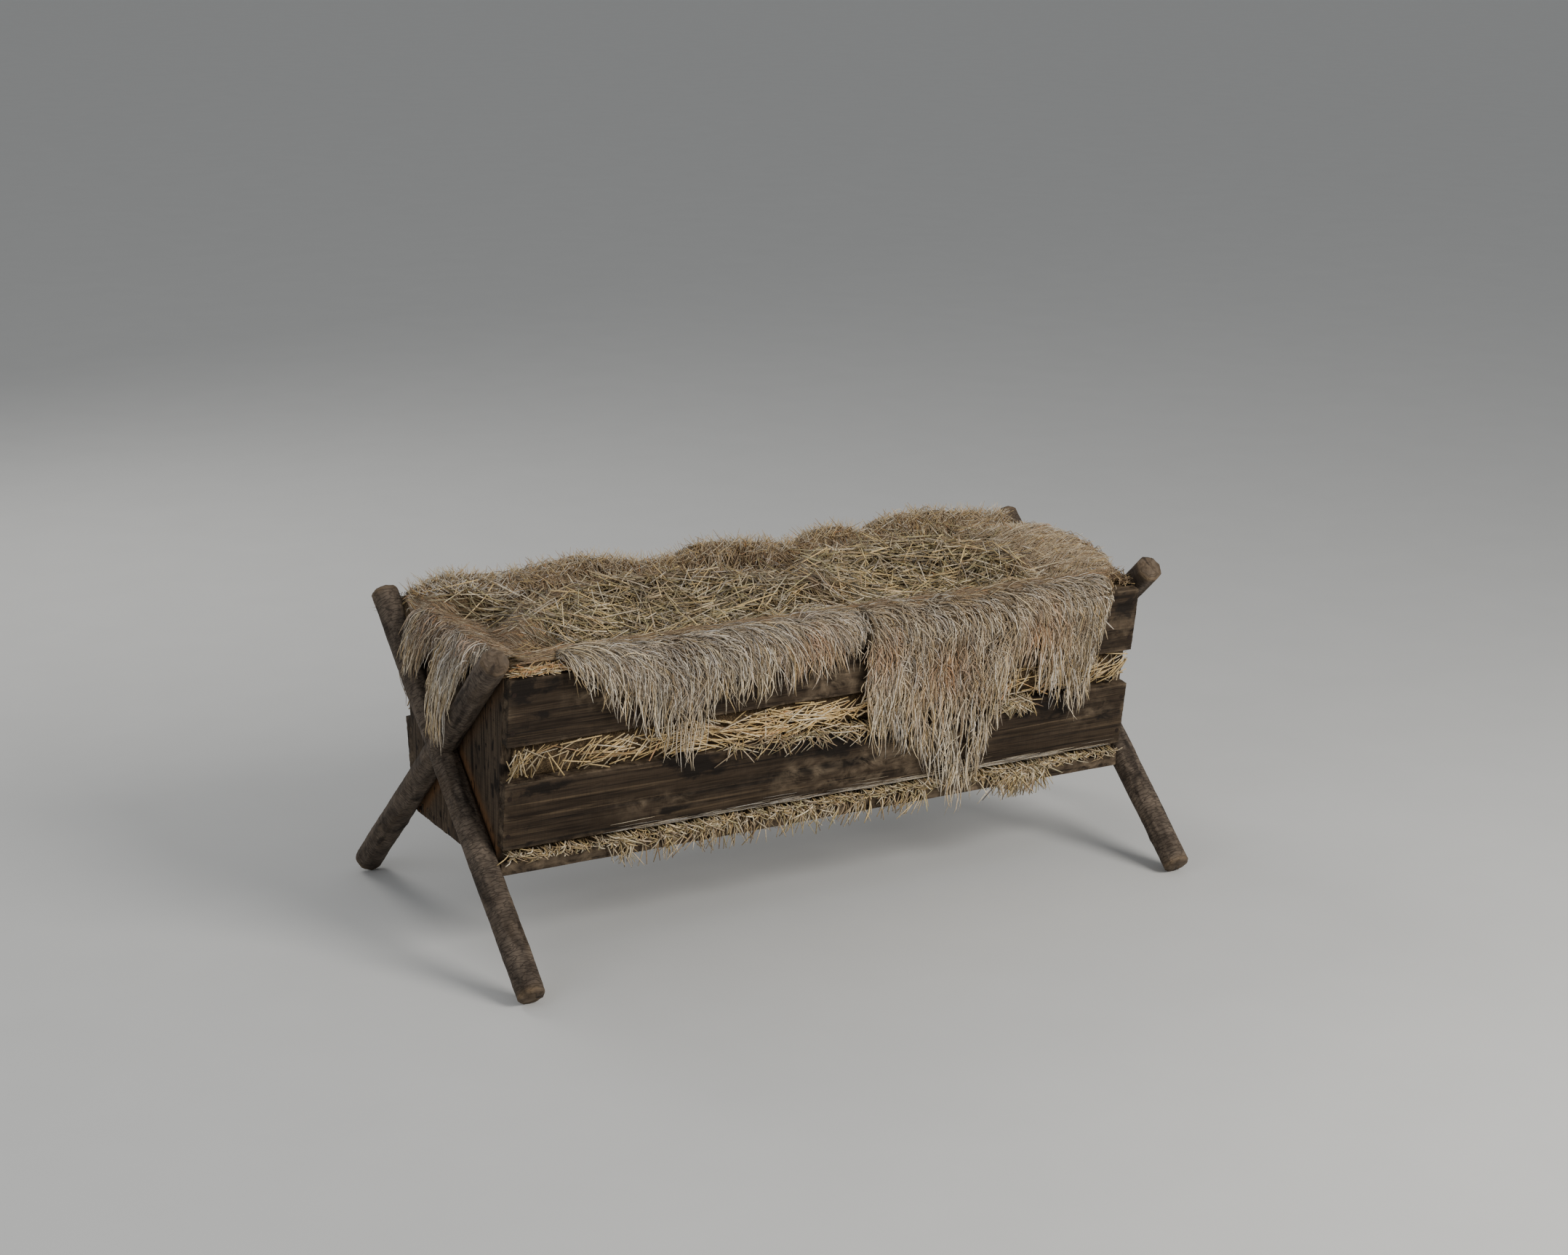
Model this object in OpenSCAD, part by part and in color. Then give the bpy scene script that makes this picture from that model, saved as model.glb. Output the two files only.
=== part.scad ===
// Hay rack feeder: a plank trough with slatted sides, carried at each end by
// two crossed poles and heaped with loose hay. X runs along the trough, Z is up
// and the four feet stand on Z = 0.

/* [Trough] */
// Length of the side planks
trough_len = 1200; // [1150:10:1250]
// Thickness of the side planks and the floor boards
board_t = 22; // [20:1:24]
// Width of one side plank
plank_w = 116; // [110:1:120]
// Lean of the slatted sides, outwards from upright
side_lean = 8; // [6:0.5:10]
// Height of the floor's underside above the ground
floor_z = 157; // [150:1:165]
// Width of the floor across the trough
floor_w = 371; // [360:1:380]
// Gap between the floor boards' top and the lower plank, along the lean
lower_gap = 23; // [15:1:30]
// Slot between the lower and the upper plank, along the lean
slot_h = 64.5; // [55:0.5:70]
// Gap between neighbouring floor boards
floor_joint = 2; // [1:0.5:4]

/* [End panels] */
// Thickness of the upright end boards
end_t = 18; // [16:1:20]
// Width of the middle end board
end_mid_w = 124; // [110:1:140]
// Gap between neighbouring end boards
end_joint = 1; // [0.5:0.5:2]

/* [Poles] */
// Diameter of the poles
pole_d = 49; // [46:1:52]
// Angle of the poles above the ground
pole_angle = 41.7; // [40:0.1:44]
// Height of the crossing above the ground
crossing_z = 325; // [320:1:330]
// Length of a pole from the crossing to its top end
top_reach = 310; // [290:5:320]
// Distance across the trough between the crossing and a foot's end
foot_span = 348; // [344:1:350]
// Depth of the flat seat hewn into a pole where it bears on the trough
seat_depth = 2.5; // [1:0.5:4]

/* [Nails] */
// Diameter of a nail's shank
nail_d = 3.4; // [2.8:0.2:4]
// Length of a nail under its head
nail_len = 55; // [50:5:60]
// Diameter of a nail's head
nail_head_d = 8; // [6:0.5:9]

/* [Hay] */
// Height of the heap's back ridge above the ground
back_ridge_z = 555; // [530:5:560]
// Height of the heap's front ridge above the ground
front_ridge_z = 528; // [520:2:540]
// Height of the hollow between the two ridges
hollow_z = 512; // [506:1:518]
// Thickness of the hay that hangs over the sides
drape_t = 20; // [14:1:24]

/* [Hidden] */
$fn = 64;
eps = 0.01;

// Slatted sides, measured along the lean from the floor's underside
lower_s = board_t + lower_gap;
upper_s = lower_s + plank_w + slot_h;
side_top_s = upper_s + plank_w;
floor_top_z = floor_z + board_t;
rim_z = floor_z + side_top_s * cos(side_lean) + board_t * sin(side_lean);

// Floor boards
floor_n = 3;
floor_board_w = (floor_w - (floor_n - 1) * floor_joint) / floor_n;

// End panels
end_face_x = trough_len / 2;
end_inner_x = end_face_x - end_t;
end_top_z = rim_z - 3;
seam_y = end_mid_w / 2;

// Poles
pole_r = pole_d / 2;
pole_x = end_face_x + pole_r - seat_depth;
foot_reach = foot_span / cos(pole_angle);
pole_chamfer = 2;
lap_clearance = 0.2;

// Nails
nail_head_t = 1.8;
nail_inset = 25;
pole_nail_s = [-185, -50, 50, 185];
crossing_nail_len = 58;
floor_nail_y = [30, 94, 150];

// Hay
hay_clear = 1;
hay_bed_top_z = rim_z;
heap_base_z = rim_z + hay_clear;
rim_overhang = 18;
front_ridge_r = 46;
back_ridge_r = 70;
heap_end_slope = 55;
end_hay_half_w = 146;
end_hay_proud = 40;
end_hay_top_z = rim_z + 12;
drape_top_s = side_top_s + 2;
gap_hay_t = 9;
gap_hay_half_l = 560;
front_fringes = [[-410, 165], [294, 430]];
back_fringes = [[-410, 430]];
fringe_drop = 24;

wood_colour = [0.33, 0.28, 0.23];
end_colour = [0.29, 0.25, 0.21];
pole_colour = [0.31, 0.27, 0.24];
nail_colour = [0.16, 0.12, 0.10];
hay_colour = [0.72, 0.62, 0.42];
pale_hay_colour = [0.78, 0.71, 0.58];

// Half width of the trough at height z, to the planks' outer or inner faces
function outer_half(z) = floor_w / 2 + (z - floor_z) * tan(side_lean);
function inner_half(z) = outer_half(z) - board_t / cos(side_lean);

// ---------- helpers ----------

// Puts its children in the front side's plane: X along the trough, Z up the
// lean from the floor's underside, Y from the outer face into the trough
module on_front_side() {
    translate([0, -floor_w / 2, floor_z])
        rotate([side_lean, 0, 0])
            children();
}

module on_back_side() {
    mirror([0, 1, 0])
        on_front_side()
            children();
}

// Extrudes an outline drawn as [y, z] along X, from x0 to x1
module along_x(x0, x1) {
    translate([x0, 0, 0])
        rotate([90, 0, 90])
            linear_extrude(x1 - x0)
                children();
}

// A nail that points along +Z, its head's top flush with Z = 0
module nail(length) {
    cylinder(d = nail_head_d, h = nail_head_t);
    translate([0, 0, nail_head_t - eps])
        cylinder(d = nail_d, h = length + eps);
}

// ---------- nails ----------

module side_nails() {
    for (side = [-1, 1], s0 = [lower_s, upper_s], ds = [nail_inset, plank_w - nail_inset])
        translate([side * (end_face_x - end_t / 2), 0, s0 + ds])
            rotate([-90, 0, 0])
                nail(nail_len);
}

module all_plank_nails() {
    on_front_side() side_nails();
    on_back_side() side_nails();
}

module all_floor_nails() {
    for (side = [-1, 1], y = floor_nail_y, sign_y = [-1, 1])
        translate([side * end_face_x, sign_y * y, floor_z + board_t / 2])
            rotate([0, -side * 90, 0])
                nail(nail_len);
}

// Nails driven from inside the trough, through the end boards into the poles
module end_pole_nails() {
    for (lean = [-1, 1], s = pole_nail_s)
        translate([end_inner_x, lean * s * cos(pole_angle), crossing_z + s * sin(pole_angle)])
            rotate([0, 90, 0])
                nail(nail_len - 4);
    translate([end_inner_x, 0, crossing_z])
        rotate([0, 90, 0])
            nail(crossing_nail_len);
}

module all_pole_nails() {
    end_pole_nails();
    mirror([1, 0, 0]) end_pole_nails();
}

module plank_nails() {
    color(nail_colour) all_plank_nails();
}

module floor_nails() {
    color(nail_colour) all_floor_nails();
}

module pole_nails() {
    color(nail_colour) all_pole_nails();
}

// ---------- poles ----------

// One round pole of the right end: its foot in front and its top behind where
// lean is 1, the other way round where lean is -1
module round_pole(lean, radius) {
    full = foot_reach + top_reach;
    translate([pole_x, 0, crossing_z])
        rotate([-lean * (90 - pole_angle), 0, 0])
            translate([0, 0, -foot_reach])
                rotate_extrude()
                    polygon([
                        [0, 0],
                        [radius - pole_chamfer, 0],
                        [radius, pole_chamfer],
                        [radius, full - pole_chamfer],
                        [radius - pole_chamfer, full],
                        [0, full]
                    ]);
}

// The trough's end, which the poles are hewn flat to bear on
module seat_zone() {
    translate([0, -floor_w, floor_z - 4])
        cube([end_face_x, 2 * floor_w, rim_z - floor_z + 8]);
}

module ground_zone() {
    translate([0, -2 * foot_span, -pole_d])
        cube([pole_x + pole_d, 4 * foot_span, pole_d]);
}

// keep is 1 for the pole that is whole on the outer half of the lap, and -1 for
// the pole that is whole on its inner half
module lapped_pole(lean, keep) {
    difference() {
        round_pole(lean, pole_r);
        intersection() {
            round_pole(-lean, pole_r + lap_clearance);
            translate([pole_x - (keep > 0 ? pole_d : lap_clearance), -pole_d, crossing_z - pole_d])
                cube([pole_d + lap_clearance, 2 * pole_d, 2 * pole_d]);
        }
        seat_zone();
        ground_zone();
        end_pole_nails();
    }
}

module right_pole_outer() {
    color(pole_colour) lapped_pole(1, 1);
}

module right_pole_inner() {
    color(pole_colour) lapped_pole(-1, -1);
}

module left_pole_outer() {
    color(pole_colour) mirror([1, 0, 0]) lapped_pole(1, 1);
}

module left_pole_inner() {
    color(pole_colour) mirror([1, 0, 0]) lapped_pole(-1, -1);
}

// ---------- end panels ----------

// The tapered outline of a whole end panel, between the planks' inner faces
module end_outline() {
    polygon([
        [-inner_half(floor_z), floor_z],
        [inner_half(floor_z), floor_z],
        [inner_half(end_top_z), end_top_z],
        [-inner_half(end_top_z), end_top_z]
    ]);
}

// One upright board of the right end panel, from y0 to y1
module end_board(y0, y1) {
    difference() {
        along_x(end_inner_x, end_face_x)
            intersection() {
                end_outline();
                translate([y0, 0])
                    square([y1 - y0, 2 * rim_z]);
            }
        all_plank_nails();
        all_floor_nails();
        all_pole_nails();
    }
}

module end_board_front() {
    color(end_colour) end_board(-floor_w, -seam_y - end_joint / 2);
}

module end_board_middle() {
    color(end_colour) end_board(-seam_y + end_joint / 2, seam_y - end_joint / 2);
}

module end_board_back() {
    color(end_colour) end_board(seam_y + end_joint / 2, floor_w);
}

module right_end_board_front() { end_board_front(); }
module right_end_board_middle() { end_board_middle(); }
module right_end_board_back() { end_board_back(); }
module left_end_board_front() { mirror([1, 0, 0]) end_board_front(); }
module left_end_board_middle() { mirror([1, 0, 0]) end_board_middle(); }
module left_end_board_back() { mirror([1, 0, 0]) end_board_back(); }

// ---------- side planks ----------

module side_plank(s0) {
    color(wood_colour)
        difference() {
            translate([-trough_len / 2, 0, s0])
                cube([trough_len, board_t, plank_w]);
            side_nails();
        }
}

module front_lower_plank() { on_front_side() side_plank(lower_s); }
module front_upper_plank() { on_front_side() side_plank(upper_s); }
module back_lower_plank() { on_back_side() side_plank(lower_s); }
module back_upper_plank() { on_back_side() side_plank(upper_s); }

// ---------- floor ----------

// Floor board number i, counted from the front, cut round the end panels so
// that the outer two keep an ear past each end panel's corner
module floor_board(i) {
    color(wood_colour)
        difference() {
            translate([-trough_len / 2, -floor_w / 2 + i * (floor_board_w + floor_joint), floor_z])
                cube([trough_len, floor_board_w, board_t]);
            for (side = [0, 1])
                mirror([side, 0, 0])
                    along_x(end_inner_x, end_face_x + 1)
                        end_notch_outline();
            all_floor_nails();
        }
}

// What an end panel takes out of the floor boards' ends
module end_notch_outline() {
    polygon([
        [-inner_half(floor_z), floor_z - 1],
        [inner_half(floor_z), floor_z - 1],
        [inner_half(floor_top_z), floor_top_z + 1],
        [-inner_half(floor_top_z), floor_top_z + 1]
    ]);
}

module floor_board_front() { floor_board(0); }
module floor_board_middle() { floor_board(1); }
module floor_board_back() { floor_board(2); }

// ---------- hay ----------

// The packed hay inside the trough
module hay_bed() {
    z0 = floor_top_z + hay_clear;
    color(hay_colour)
        along_x(-end_inner_x + hay_clear, end_inner_x - hay_clear)
            polygon([
                [-inner_half(z0) + hay_clear, z0],
                [inner_half(z0) - hay_clear, z0],
                [inner_half(hay_bed_top_z) - hay_clear, hay_bed_top_z],
                [-inner_half(hay_bed_top_z) + hay_clear, hay_bed_top_z]
            ]);
}

// Cross section of the heap: a ridge along each side and a hollow between them
module heap_section() {
    half = outer_half(rim_z);
    intersection() {
        union() {
            translate([-half, heap_base_z])
                square([2 * half, hollow_z - heap_base_z]);
            translate([-half - rim_overhang + front_ridge_r, front_ridge_z - front_ridge_r])
                circle(front_ridge_r);
            translate([half + rim_overhang - back_ridge_r, back_ridge_z - back_ridge_r])
                circle(back_ridge_r);
        }
        translate([-floor_w, heap_base_z])
            square([2 * floor_w, back_ridge_z]);
    }
}

// Side view of the heap: its ends slope in above the end panels
module heap_side_view() {
    rise = back_ridge_z - heap_base_z;
    run = rise / tan(heap_end_slope);
    polygon([
        [-end_face_x + 4, heap_base_z - 1],
        [end_face_x - 4, heap_base_z - 1],
        [end_face_x - 4 - run, back_ridge_z + 1],
        [-end_face_x + 4 + run, back_ridge_z + 1]
    ]);
}

module hay_heap() {
    color(hay_colour)
        intersection() {
            along_x(-end_face_x, end_face_x)
                heap_section();
            translate([0, floor_w, 0])
                rotate([90, 0, 0])
                    linear_extrude(2 * floor_w)
                        heap_side_view();
        }
}

// Hay that hangs down a side, its outline drawn in the side's plane as [x, s]
module drape(outline) {
    color(pale_hay_colour)
        translate([0, -hay_clear, 0])
            rotate([90, 0, 0])
                linear_extrude(drape_t)
                    polygon(outline);
}

module front_drape_left() {
    on_front_side()
        drape([
            [-505, drape_top_s],
            [-485, 322],
            [-418, 242],
            [-350, 208],
            [-312, 152],
            [-265, 140],
            [-238, 226],
            [-100, 250],
            [30, 268],
            [36, drape_top_s]
        ]);
}

module front_drape_right() {
    on_front_side()
        drape([
            [42, drape_top_s],
            [44, 190],
            [65, 100],
            [145, 98],
            [188, 31],
            [236, -4],
            [292, 14],
            [342, 172],
            [354, 232],
            [384, 234],
            [402, 170],
            [485, 100],
            [520, 190],
            [532, drape_top_s]
        ]);
}

module back_drape() {
    on_back_side()
        drape([
            [-598, drape_top_s],
            [-596, 155],
            [-565, 150],
            [-480, 235],
            [-300, 250],
            [-130, 175],
            [-70, 175],
            [100, 255],
            [300, 190],
            [370, 200],
            [500, 270],
            [545, drape_top_s]
        ]);
}

// The fork between the two poles above their crossing, down to tip_z
module fork_outline(tip_z) {
    side_gap = pole_r / cos(pole_angle) + 2 * hay_clear;
    tip_half_w = (tip_z - crossing_z - side_gap) / tan(pole_angle);
    edge_z = crossing_z + side_gap + end_hay_half_w * tan(pole_angle);
    polygon([
        [-tip_half_w, tip_z],
        [tip_half_w, tip_z],
        [end_hay_half_w, edge_z],
        [end_hay_half_w, end_hay_top_z],
        [-end_hay_half_w, end_hay_top_z],
        [-end_hay_half_w, edge_z]
    ]);
}

// Hay that spills over the right end panel into the fork of its poles
module end_hay(tip_z, proud) {
    color(pale_hay_colour)
        along_x(end_face_x + hay_clear / 2, end_face_x + proud)
            fork_outline(tip_z);
}

module left_end_hay() {
    mirror([1, 0, 0]) end_hay(372, end_hay_proud);
}

module right_end_hay() {
    end_hay(430, end_hay_proud * 0.75);
}

// Straws that stick out between the lower plank and the floor, with fringes
// that hang in front of the floor's edge, each from one x to another
module gap_hay(fringes) {
    gap_s = board_t + hay_clear;
    gap_top_s = lower_s - hay_clear;
    face = hay_clear / 2;
    color(hay_colour) {
        translate([-gap_hay_half_l, -face, gap_s])
            cube([2 * gap_hay_half_l, board_t - face, gap_top_s - gap_s]);
        for (fringe = fringes)
            translate([fringe[0], -gap_hay_t, -fringe_drop])
                cube([fringe[1] - fringe[0], gap_hay_t - face, gap_top_s + fringe_drop]);
    }
}

module front_gap_hay() {
    on_front_side() gap_hay(front_fringes);
}

module back_gap_hay() {
    on_back_side() gap_hay(back_fringes);
}

left_pole_outer();
left_pole_inner();
right_pole_outer();
right_pole_inner();
left_end_board_front();
left_end_board_middle();
left_end_board_back();
right_end_board_front();
right_end_board_middle();
right_end_board_back();
front_upper_plank();
front_lower_plank();
back_upper_plank();
back_lower_plank();
floor_board_front();
floor_board_middle();
floor_board_back();
plank_nails();
floor_nails();
pole_nails();
hay_bed();
hay_heap();
front_drape_left();
front_drape_right();
back_drape();
left_end_hay();
right_end_hay();
front_gap_hay();
back_gap_hay();
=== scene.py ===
"""Looks of the hay rack feeder: weathered boards, bark poles, nail heads and hay made of single straws."""

import math

import bpy
import numpy as np
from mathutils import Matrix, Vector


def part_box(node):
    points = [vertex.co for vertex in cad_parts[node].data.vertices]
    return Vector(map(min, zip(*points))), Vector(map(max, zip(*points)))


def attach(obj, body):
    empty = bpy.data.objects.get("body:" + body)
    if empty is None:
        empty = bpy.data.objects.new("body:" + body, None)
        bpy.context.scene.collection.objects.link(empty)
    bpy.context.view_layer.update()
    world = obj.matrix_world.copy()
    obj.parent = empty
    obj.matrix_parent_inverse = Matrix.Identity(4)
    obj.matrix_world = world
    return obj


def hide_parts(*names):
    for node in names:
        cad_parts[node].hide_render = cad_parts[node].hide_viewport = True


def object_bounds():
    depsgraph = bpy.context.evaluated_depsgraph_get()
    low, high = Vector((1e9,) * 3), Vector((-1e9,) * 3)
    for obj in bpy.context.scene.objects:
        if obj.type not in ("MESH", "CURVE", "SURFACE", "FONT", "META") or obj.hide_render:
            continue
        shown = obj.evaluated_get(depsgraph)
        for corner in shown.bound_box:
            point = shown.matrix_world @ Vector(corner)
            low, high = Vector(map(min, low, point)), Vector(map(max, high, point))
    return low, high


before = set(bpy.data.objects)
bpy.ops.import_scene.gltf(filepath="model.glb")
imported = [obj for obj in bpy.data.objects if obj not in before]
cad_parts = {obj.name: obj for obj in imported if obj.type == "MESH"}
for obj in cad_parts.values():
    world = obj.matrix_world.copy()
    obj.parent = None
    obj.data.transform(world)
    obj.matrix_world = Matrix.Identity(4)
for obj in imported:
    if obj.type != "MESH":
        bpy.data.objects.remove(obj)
cad_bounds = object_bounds()

MM = 0.001
BODY = "root"

# ---------- sizes taken from the frame ----------

floor_lo, floor_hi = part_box("floor_board_front")
upper_lo, upper_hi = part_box("front_upper_plank")
pole_end_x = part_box("right_pole_outer")[1].x

LEAN = math.radians(8)
POLE_ANGLE = math.radians(41.7)
PLANK_W = 116 * MM
BOARD_T = floor_hi.z - floor_lo.z
FLOOR_Z = floor_lo.z
FLOOR_HALF = -floor_lo.y
HALF_LEN = upper_hi.x
RIM_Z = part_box("hay_heap")[0].z
POLE_FLAT = 2.5 * MM
POLE_R = (pole_end_x - HALF_LEN + POLE_FLAT) / 2
POLE_X = pole_end_x - POLE_R
CROSSING_Z = 325 * MM
TOP_REACH = 310 * MM
FOOT_REACH = 348 * MM / math.cos(POLE_ANGLE)


def side_s(y, z):
    """Distance up the front side's outer plane of a point that lies on it."""
    return (z - FLOOR_Z) * math.cos(LEAN) - (y + FLOOR_HALF) * math.sin(LEAN)


def on_side(x, out, s):
    """Points in front of the front side: x along it, out from its outer plane, s up its lean."""
    y = -FLOOR_HALF - s * math.sin(LEAN) - out * math.cos(LEAN)
    z = FLOOR_Z + s * math.cos(LEAN) - out * math.sin(LEAN)
    return np.stack(np.broadcast_arrays(x, y, z), -1)


def inner_half_width(z):
    """How far the sides' inner faces are from the middle at a height."""
    return FLOOR_HALF - BOARD_T / math.cos(LEAN) + (z - FLOOR_Z) * math.tan(LEAN)


LOWER_S = (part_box("front_lower_plank")[0].z - FLOOR_Z) / math.cos(LEAN)
UPPER_S = (upper_lo.z - FLOOR_Z) / math.cos(LEAN)
TOP_S = UPPER_S + PLANK_W

# ---------- noise ----------


def noise(points, seed=0):
    """Smooth noise from -1 to 1 at each point; one lattice cell is one unit."""
    points = np.asarray(points, float)
    cell = np.floor(points).astype(np.int64)
    t = points - cell
    t = t * t * (3 - 2 * t)
    total = np.zeros(points.shape[:-1])
    for corner in range(8):
        step = np.array([corner & 1, corner >> 1 & 1, corner >> 2 & 1])
        key = (cell + step) @ np.array([374761393, 668265263, 1442695041]) + seed * 97531
        key = (key ^ (key >> 13)) * 1274126177
        key = (key ^ (key >> 16)) & 0xFFFF
        total += np.prod(np.where(step == 1, t, 1 - t), axis=-1) * (key / 32767.5 - 1)
    return total


def layered_noise(points, seed=0, octaves=3):
    """Noise with finer, weaker layers added."""
    return sum(noise(np.asarray(points) * 2**k, seed + k) / 2**k for k in range(octaves))


def flat(x, y=0.0):
    """Points of the plane z = 0 at which noise is read."""
    return np.stack(np.broadcast_arrays(x, y, 0.0), -1)


def unit(v):
    return v / np.maximum(np.linalg.norm(v, axis=-1, keepdims=True), 1e-12)


def ease(t):
    t = np.clip(t, 0, 1)
    return t * t * (3 - 2 * t)


def linear(*srgb):
    """An sRGB colour as linear red, green and blue."""
    c = np.array(srgb, float) / 255
    return np.where(c <= 0.04045, c / 12.92, ((c + 0.055) / 1.055) ** 2.4)


# ---------- meshes ----------


def new_mesh(name, points, corners, starts, uv=None, tint=None):
    """A mesh object from arrays: corners lists each face's points, starts where each face begins."""
    mesh = bpy.data.meshes.new(name)
    mesh.vertices.add(len(points))
    mesh.vertices.foreach_set("co", np.asarray(points, np.float32).ravel())
    mesh.loops.add(len(corners))
    mesh.loops.foreach_set("vertex_index", np.asarray(corners, np.int32))
    mesh.polygons.add(len(starts))
    mesh.polygons.foreach_set("loop_start", np.asarray(starts, np.int32))
    mesh.update(calc_edges=True)
    mesh.polygons.foreach_set("use_smooth", np.ones(len(starts), bool))
    if uv is not None:
        mesh.uv_layers.new(name="OFBake").data.foreach_set("uv", np.asarray(uv, np.float32).ravel())
    if tint is not None:
        rgba = np.concatenate([tint, np.ones((len(tint), 1))], 1)
        layer = mesh.color_attributes.new("tint", "FLOAT_COLOR", "POINT")
        layer.data.foreach_set("color", rgba.astype(np.float32).ravel())
    obj = bpy.data.objects.new(name, mesh)
    bpy.context.scene.collection.objects.link(obj)
    return obj


def quad_mesh(name, points, quads, tint=None):
    return new_mesh(name, points, quads.ravel(), np.arange(len(quads)) * 4, tint=tint)


def box_shell(xs, ys, zs):
    """Points and outward quads of a closed box whose faces are divided at the given coordinates."""
    ids = np.arange(len(xs) * len(ys) * len(zs)).reshape(len(xs), len(ys), len(zs))

    def sheet(face, flip):
        quads = np.stack([face[:-1, :-1], face[1:, :-1], face[1:, 1:], face[:-1, 1:]], -1).reshape(-1, 4)
        return quads[:, ::-1] if flip else quads

    quads = np.concatenate([
        sheet(ids[:, :, -1], False), sheet(ids[:, :, 0], True),
        sheet(ids[:, -1, :], True), sheet(ids[:, 0, :], False),
        sheet(ids[-1], False), sheet(ids[0], True),
    ])
    used, quads = np.unique(quads, return_inverse=True)
    grid = np.stack(np.meshgrid(xs, ys, zs, indexing="ij"), -1).reshape(-1, 3)
    return grid[used], quads.reshape(-1, 4)


def divided(half, edge, step):
    """Coordinates from -half to half, close together near both ends, then about a step apart."""
    near = edge * np.array([0, 0.3, 0.65])
    middle = np.linspace(-half + edge, half - edge, max(2, round(2 * (half - edge) / step) + 1))
    return np.concatenate([-half + near, middle, half - near[::-1]])


def piece(obj, look, *nodes):
    """Gives a finished object its look's material and its body, and hides the CAD nodes it stands for; the
    look's slot is not used.
    """
    material, slot = look
    obj.data.materials.clear()
    obj.data.materials.append(material)
    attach(obj, BODY)
    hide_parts(*nodes)


# ---------- materials ----------


class Nodes:
    """Short calls that add and link the nodes of one material."""

    def __init__(self, name):
        self.material = bpy.data.materials.new(name)
        self.material.use_nodes = True
        self.tree = self.material.node_tree
        self.shader = next(n for n in self.tree.nodes if n.type == "BSDF_PRINCIPLED")

    def add(self, kind, inputs=None, **settings):
        node = self.tree.nodes.new("ShaderNode" + kind)
        for key, value in settings.items():
            setattr(node, key, value)
        for key, value in (inputs or {}).items():
            self.put(node.inputs[key], value)
        return node

    def put(self, socket, value):
        if isinstance(value, bpy.types.NodeSocket):
            self.tree.links.new(value, socket)
        else:
            socket.default_value = value

    def vector(self, operation, inputs):
        return self.add("VectorMath", inputs, operation=operation).outputs[0]

    def marks(self):
        """The painted marks on the mesh: wear, stain, and a painted strip of warm light beside the poles."""
        colour = self.add("VertexColor", layer_name="tint").outputs["Color"]
        return self.add("SeparateColor", {"Color": colour}).outputs

    def stretched(self, rotation=(0, 0, 0), scale=(1, 1, 1), shift=None):
        """The row frame's coordinates, turned, then scaled and shifted, for a grain along one axis."""
        place = self.add("TexCoord").outputs["Object"]
        turned = self.add("Mapping", {"Vector": place, "Rotation": rotation}).outputs["Vector"]
        scaled = self.vector("MULTIPLY", {0: turned, 1: scale})
        return scaled if shift is None else self.vector("ADD", {0: scaled, 1: shift})

    def noise(self, vector, scale, detail=4.0, roughness=0.55, distortion=0.0):
        inputs = dict(Vector=vector, Scale=scale, Detail=detail, Roughness=roughness, Distortion=distortion)
        return self.add("TexNoise", inputs).outputs["Fac"]

    def crooked(self, vector, amount):
        """The same coordinates pushed about by noise, so that lines drawn from them wander."""
        push = self.add("TexNoise", {"Vector": vector, "Scale": 1.3, "Detail": 2.0}).outputs["Color"]
        return self.vector("ADD", {0: vector, 1: self.vector("SCALE", {0: push, 3: amount})})

    def ramp(self, value, *stops):
        """A colour ramp; each stop is (position, grey level or colour)."""
        node = self.add("ValToRGB", {"Fac": value})
        while len(node.color_ramp.elements) < len(stops):
            node.color_ramp.elements.new(0.5)
        for element, (position, colour) in zip(node.color_ramp.elements, stops):
            element.position = position
            rgb = (colour,) * 3 if np.isscalar(colour) else tuple(colour)
            element.color = (*rgb, 1)
        return node.outputs["Color"]

    def mix(self, factor, a, b):
        node = self.add("Mix", data_type="RGBA")
        self.put(node.inputs["Factor"], factor)
        for socket, value in ((node.inputs[6], a), (node.inputs[7], b)):
            self.put(socket, value if isinstance(value, bpy.types.NodeSocket) else (*value, 1))
        return node.outputs[2]

    def math(self, operation, a, b):
        node = self.add("Math", operation=operation)
        self.put(node.inputs[0], a)
        self.put(node.inputs[1], b)
        return node.outputs[0]

    def layers(self, colour, *layers):
        """Colours laid over each other in turn; each layer is (how much of it shows, sRGB colour)."""
        for share, srgb in layers:
            colour = self.mix(share, colour, linear(*srgb))
        return colour

    def bump(self, height, distance):
        inputs = {"Height": height, "Distance": distance, "Strength": 1.0}
        return self.add("Bump", inputs).outputs["Normal"]

    def finish(self, colour, roughness, normal=None, **constants):
        self.put(self.shader.inputs["Base Color"], colour)
        self.put(self.shader.inputs["Roughness"], roughness)
        if normal is not None:
            self.put(self.shader.inputs["Normal"], normal)
        for key, value in constants.items():
            self.shader.inputs[key.replace("_", " ")].default_value = value
        return self.material


def shift_of(seed):
    """Where in the noise a material's grain lies, so that no two boards look alike."""
    return (0.37 * seed, 0.71 * seed, 0.13 * seed)


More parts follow.
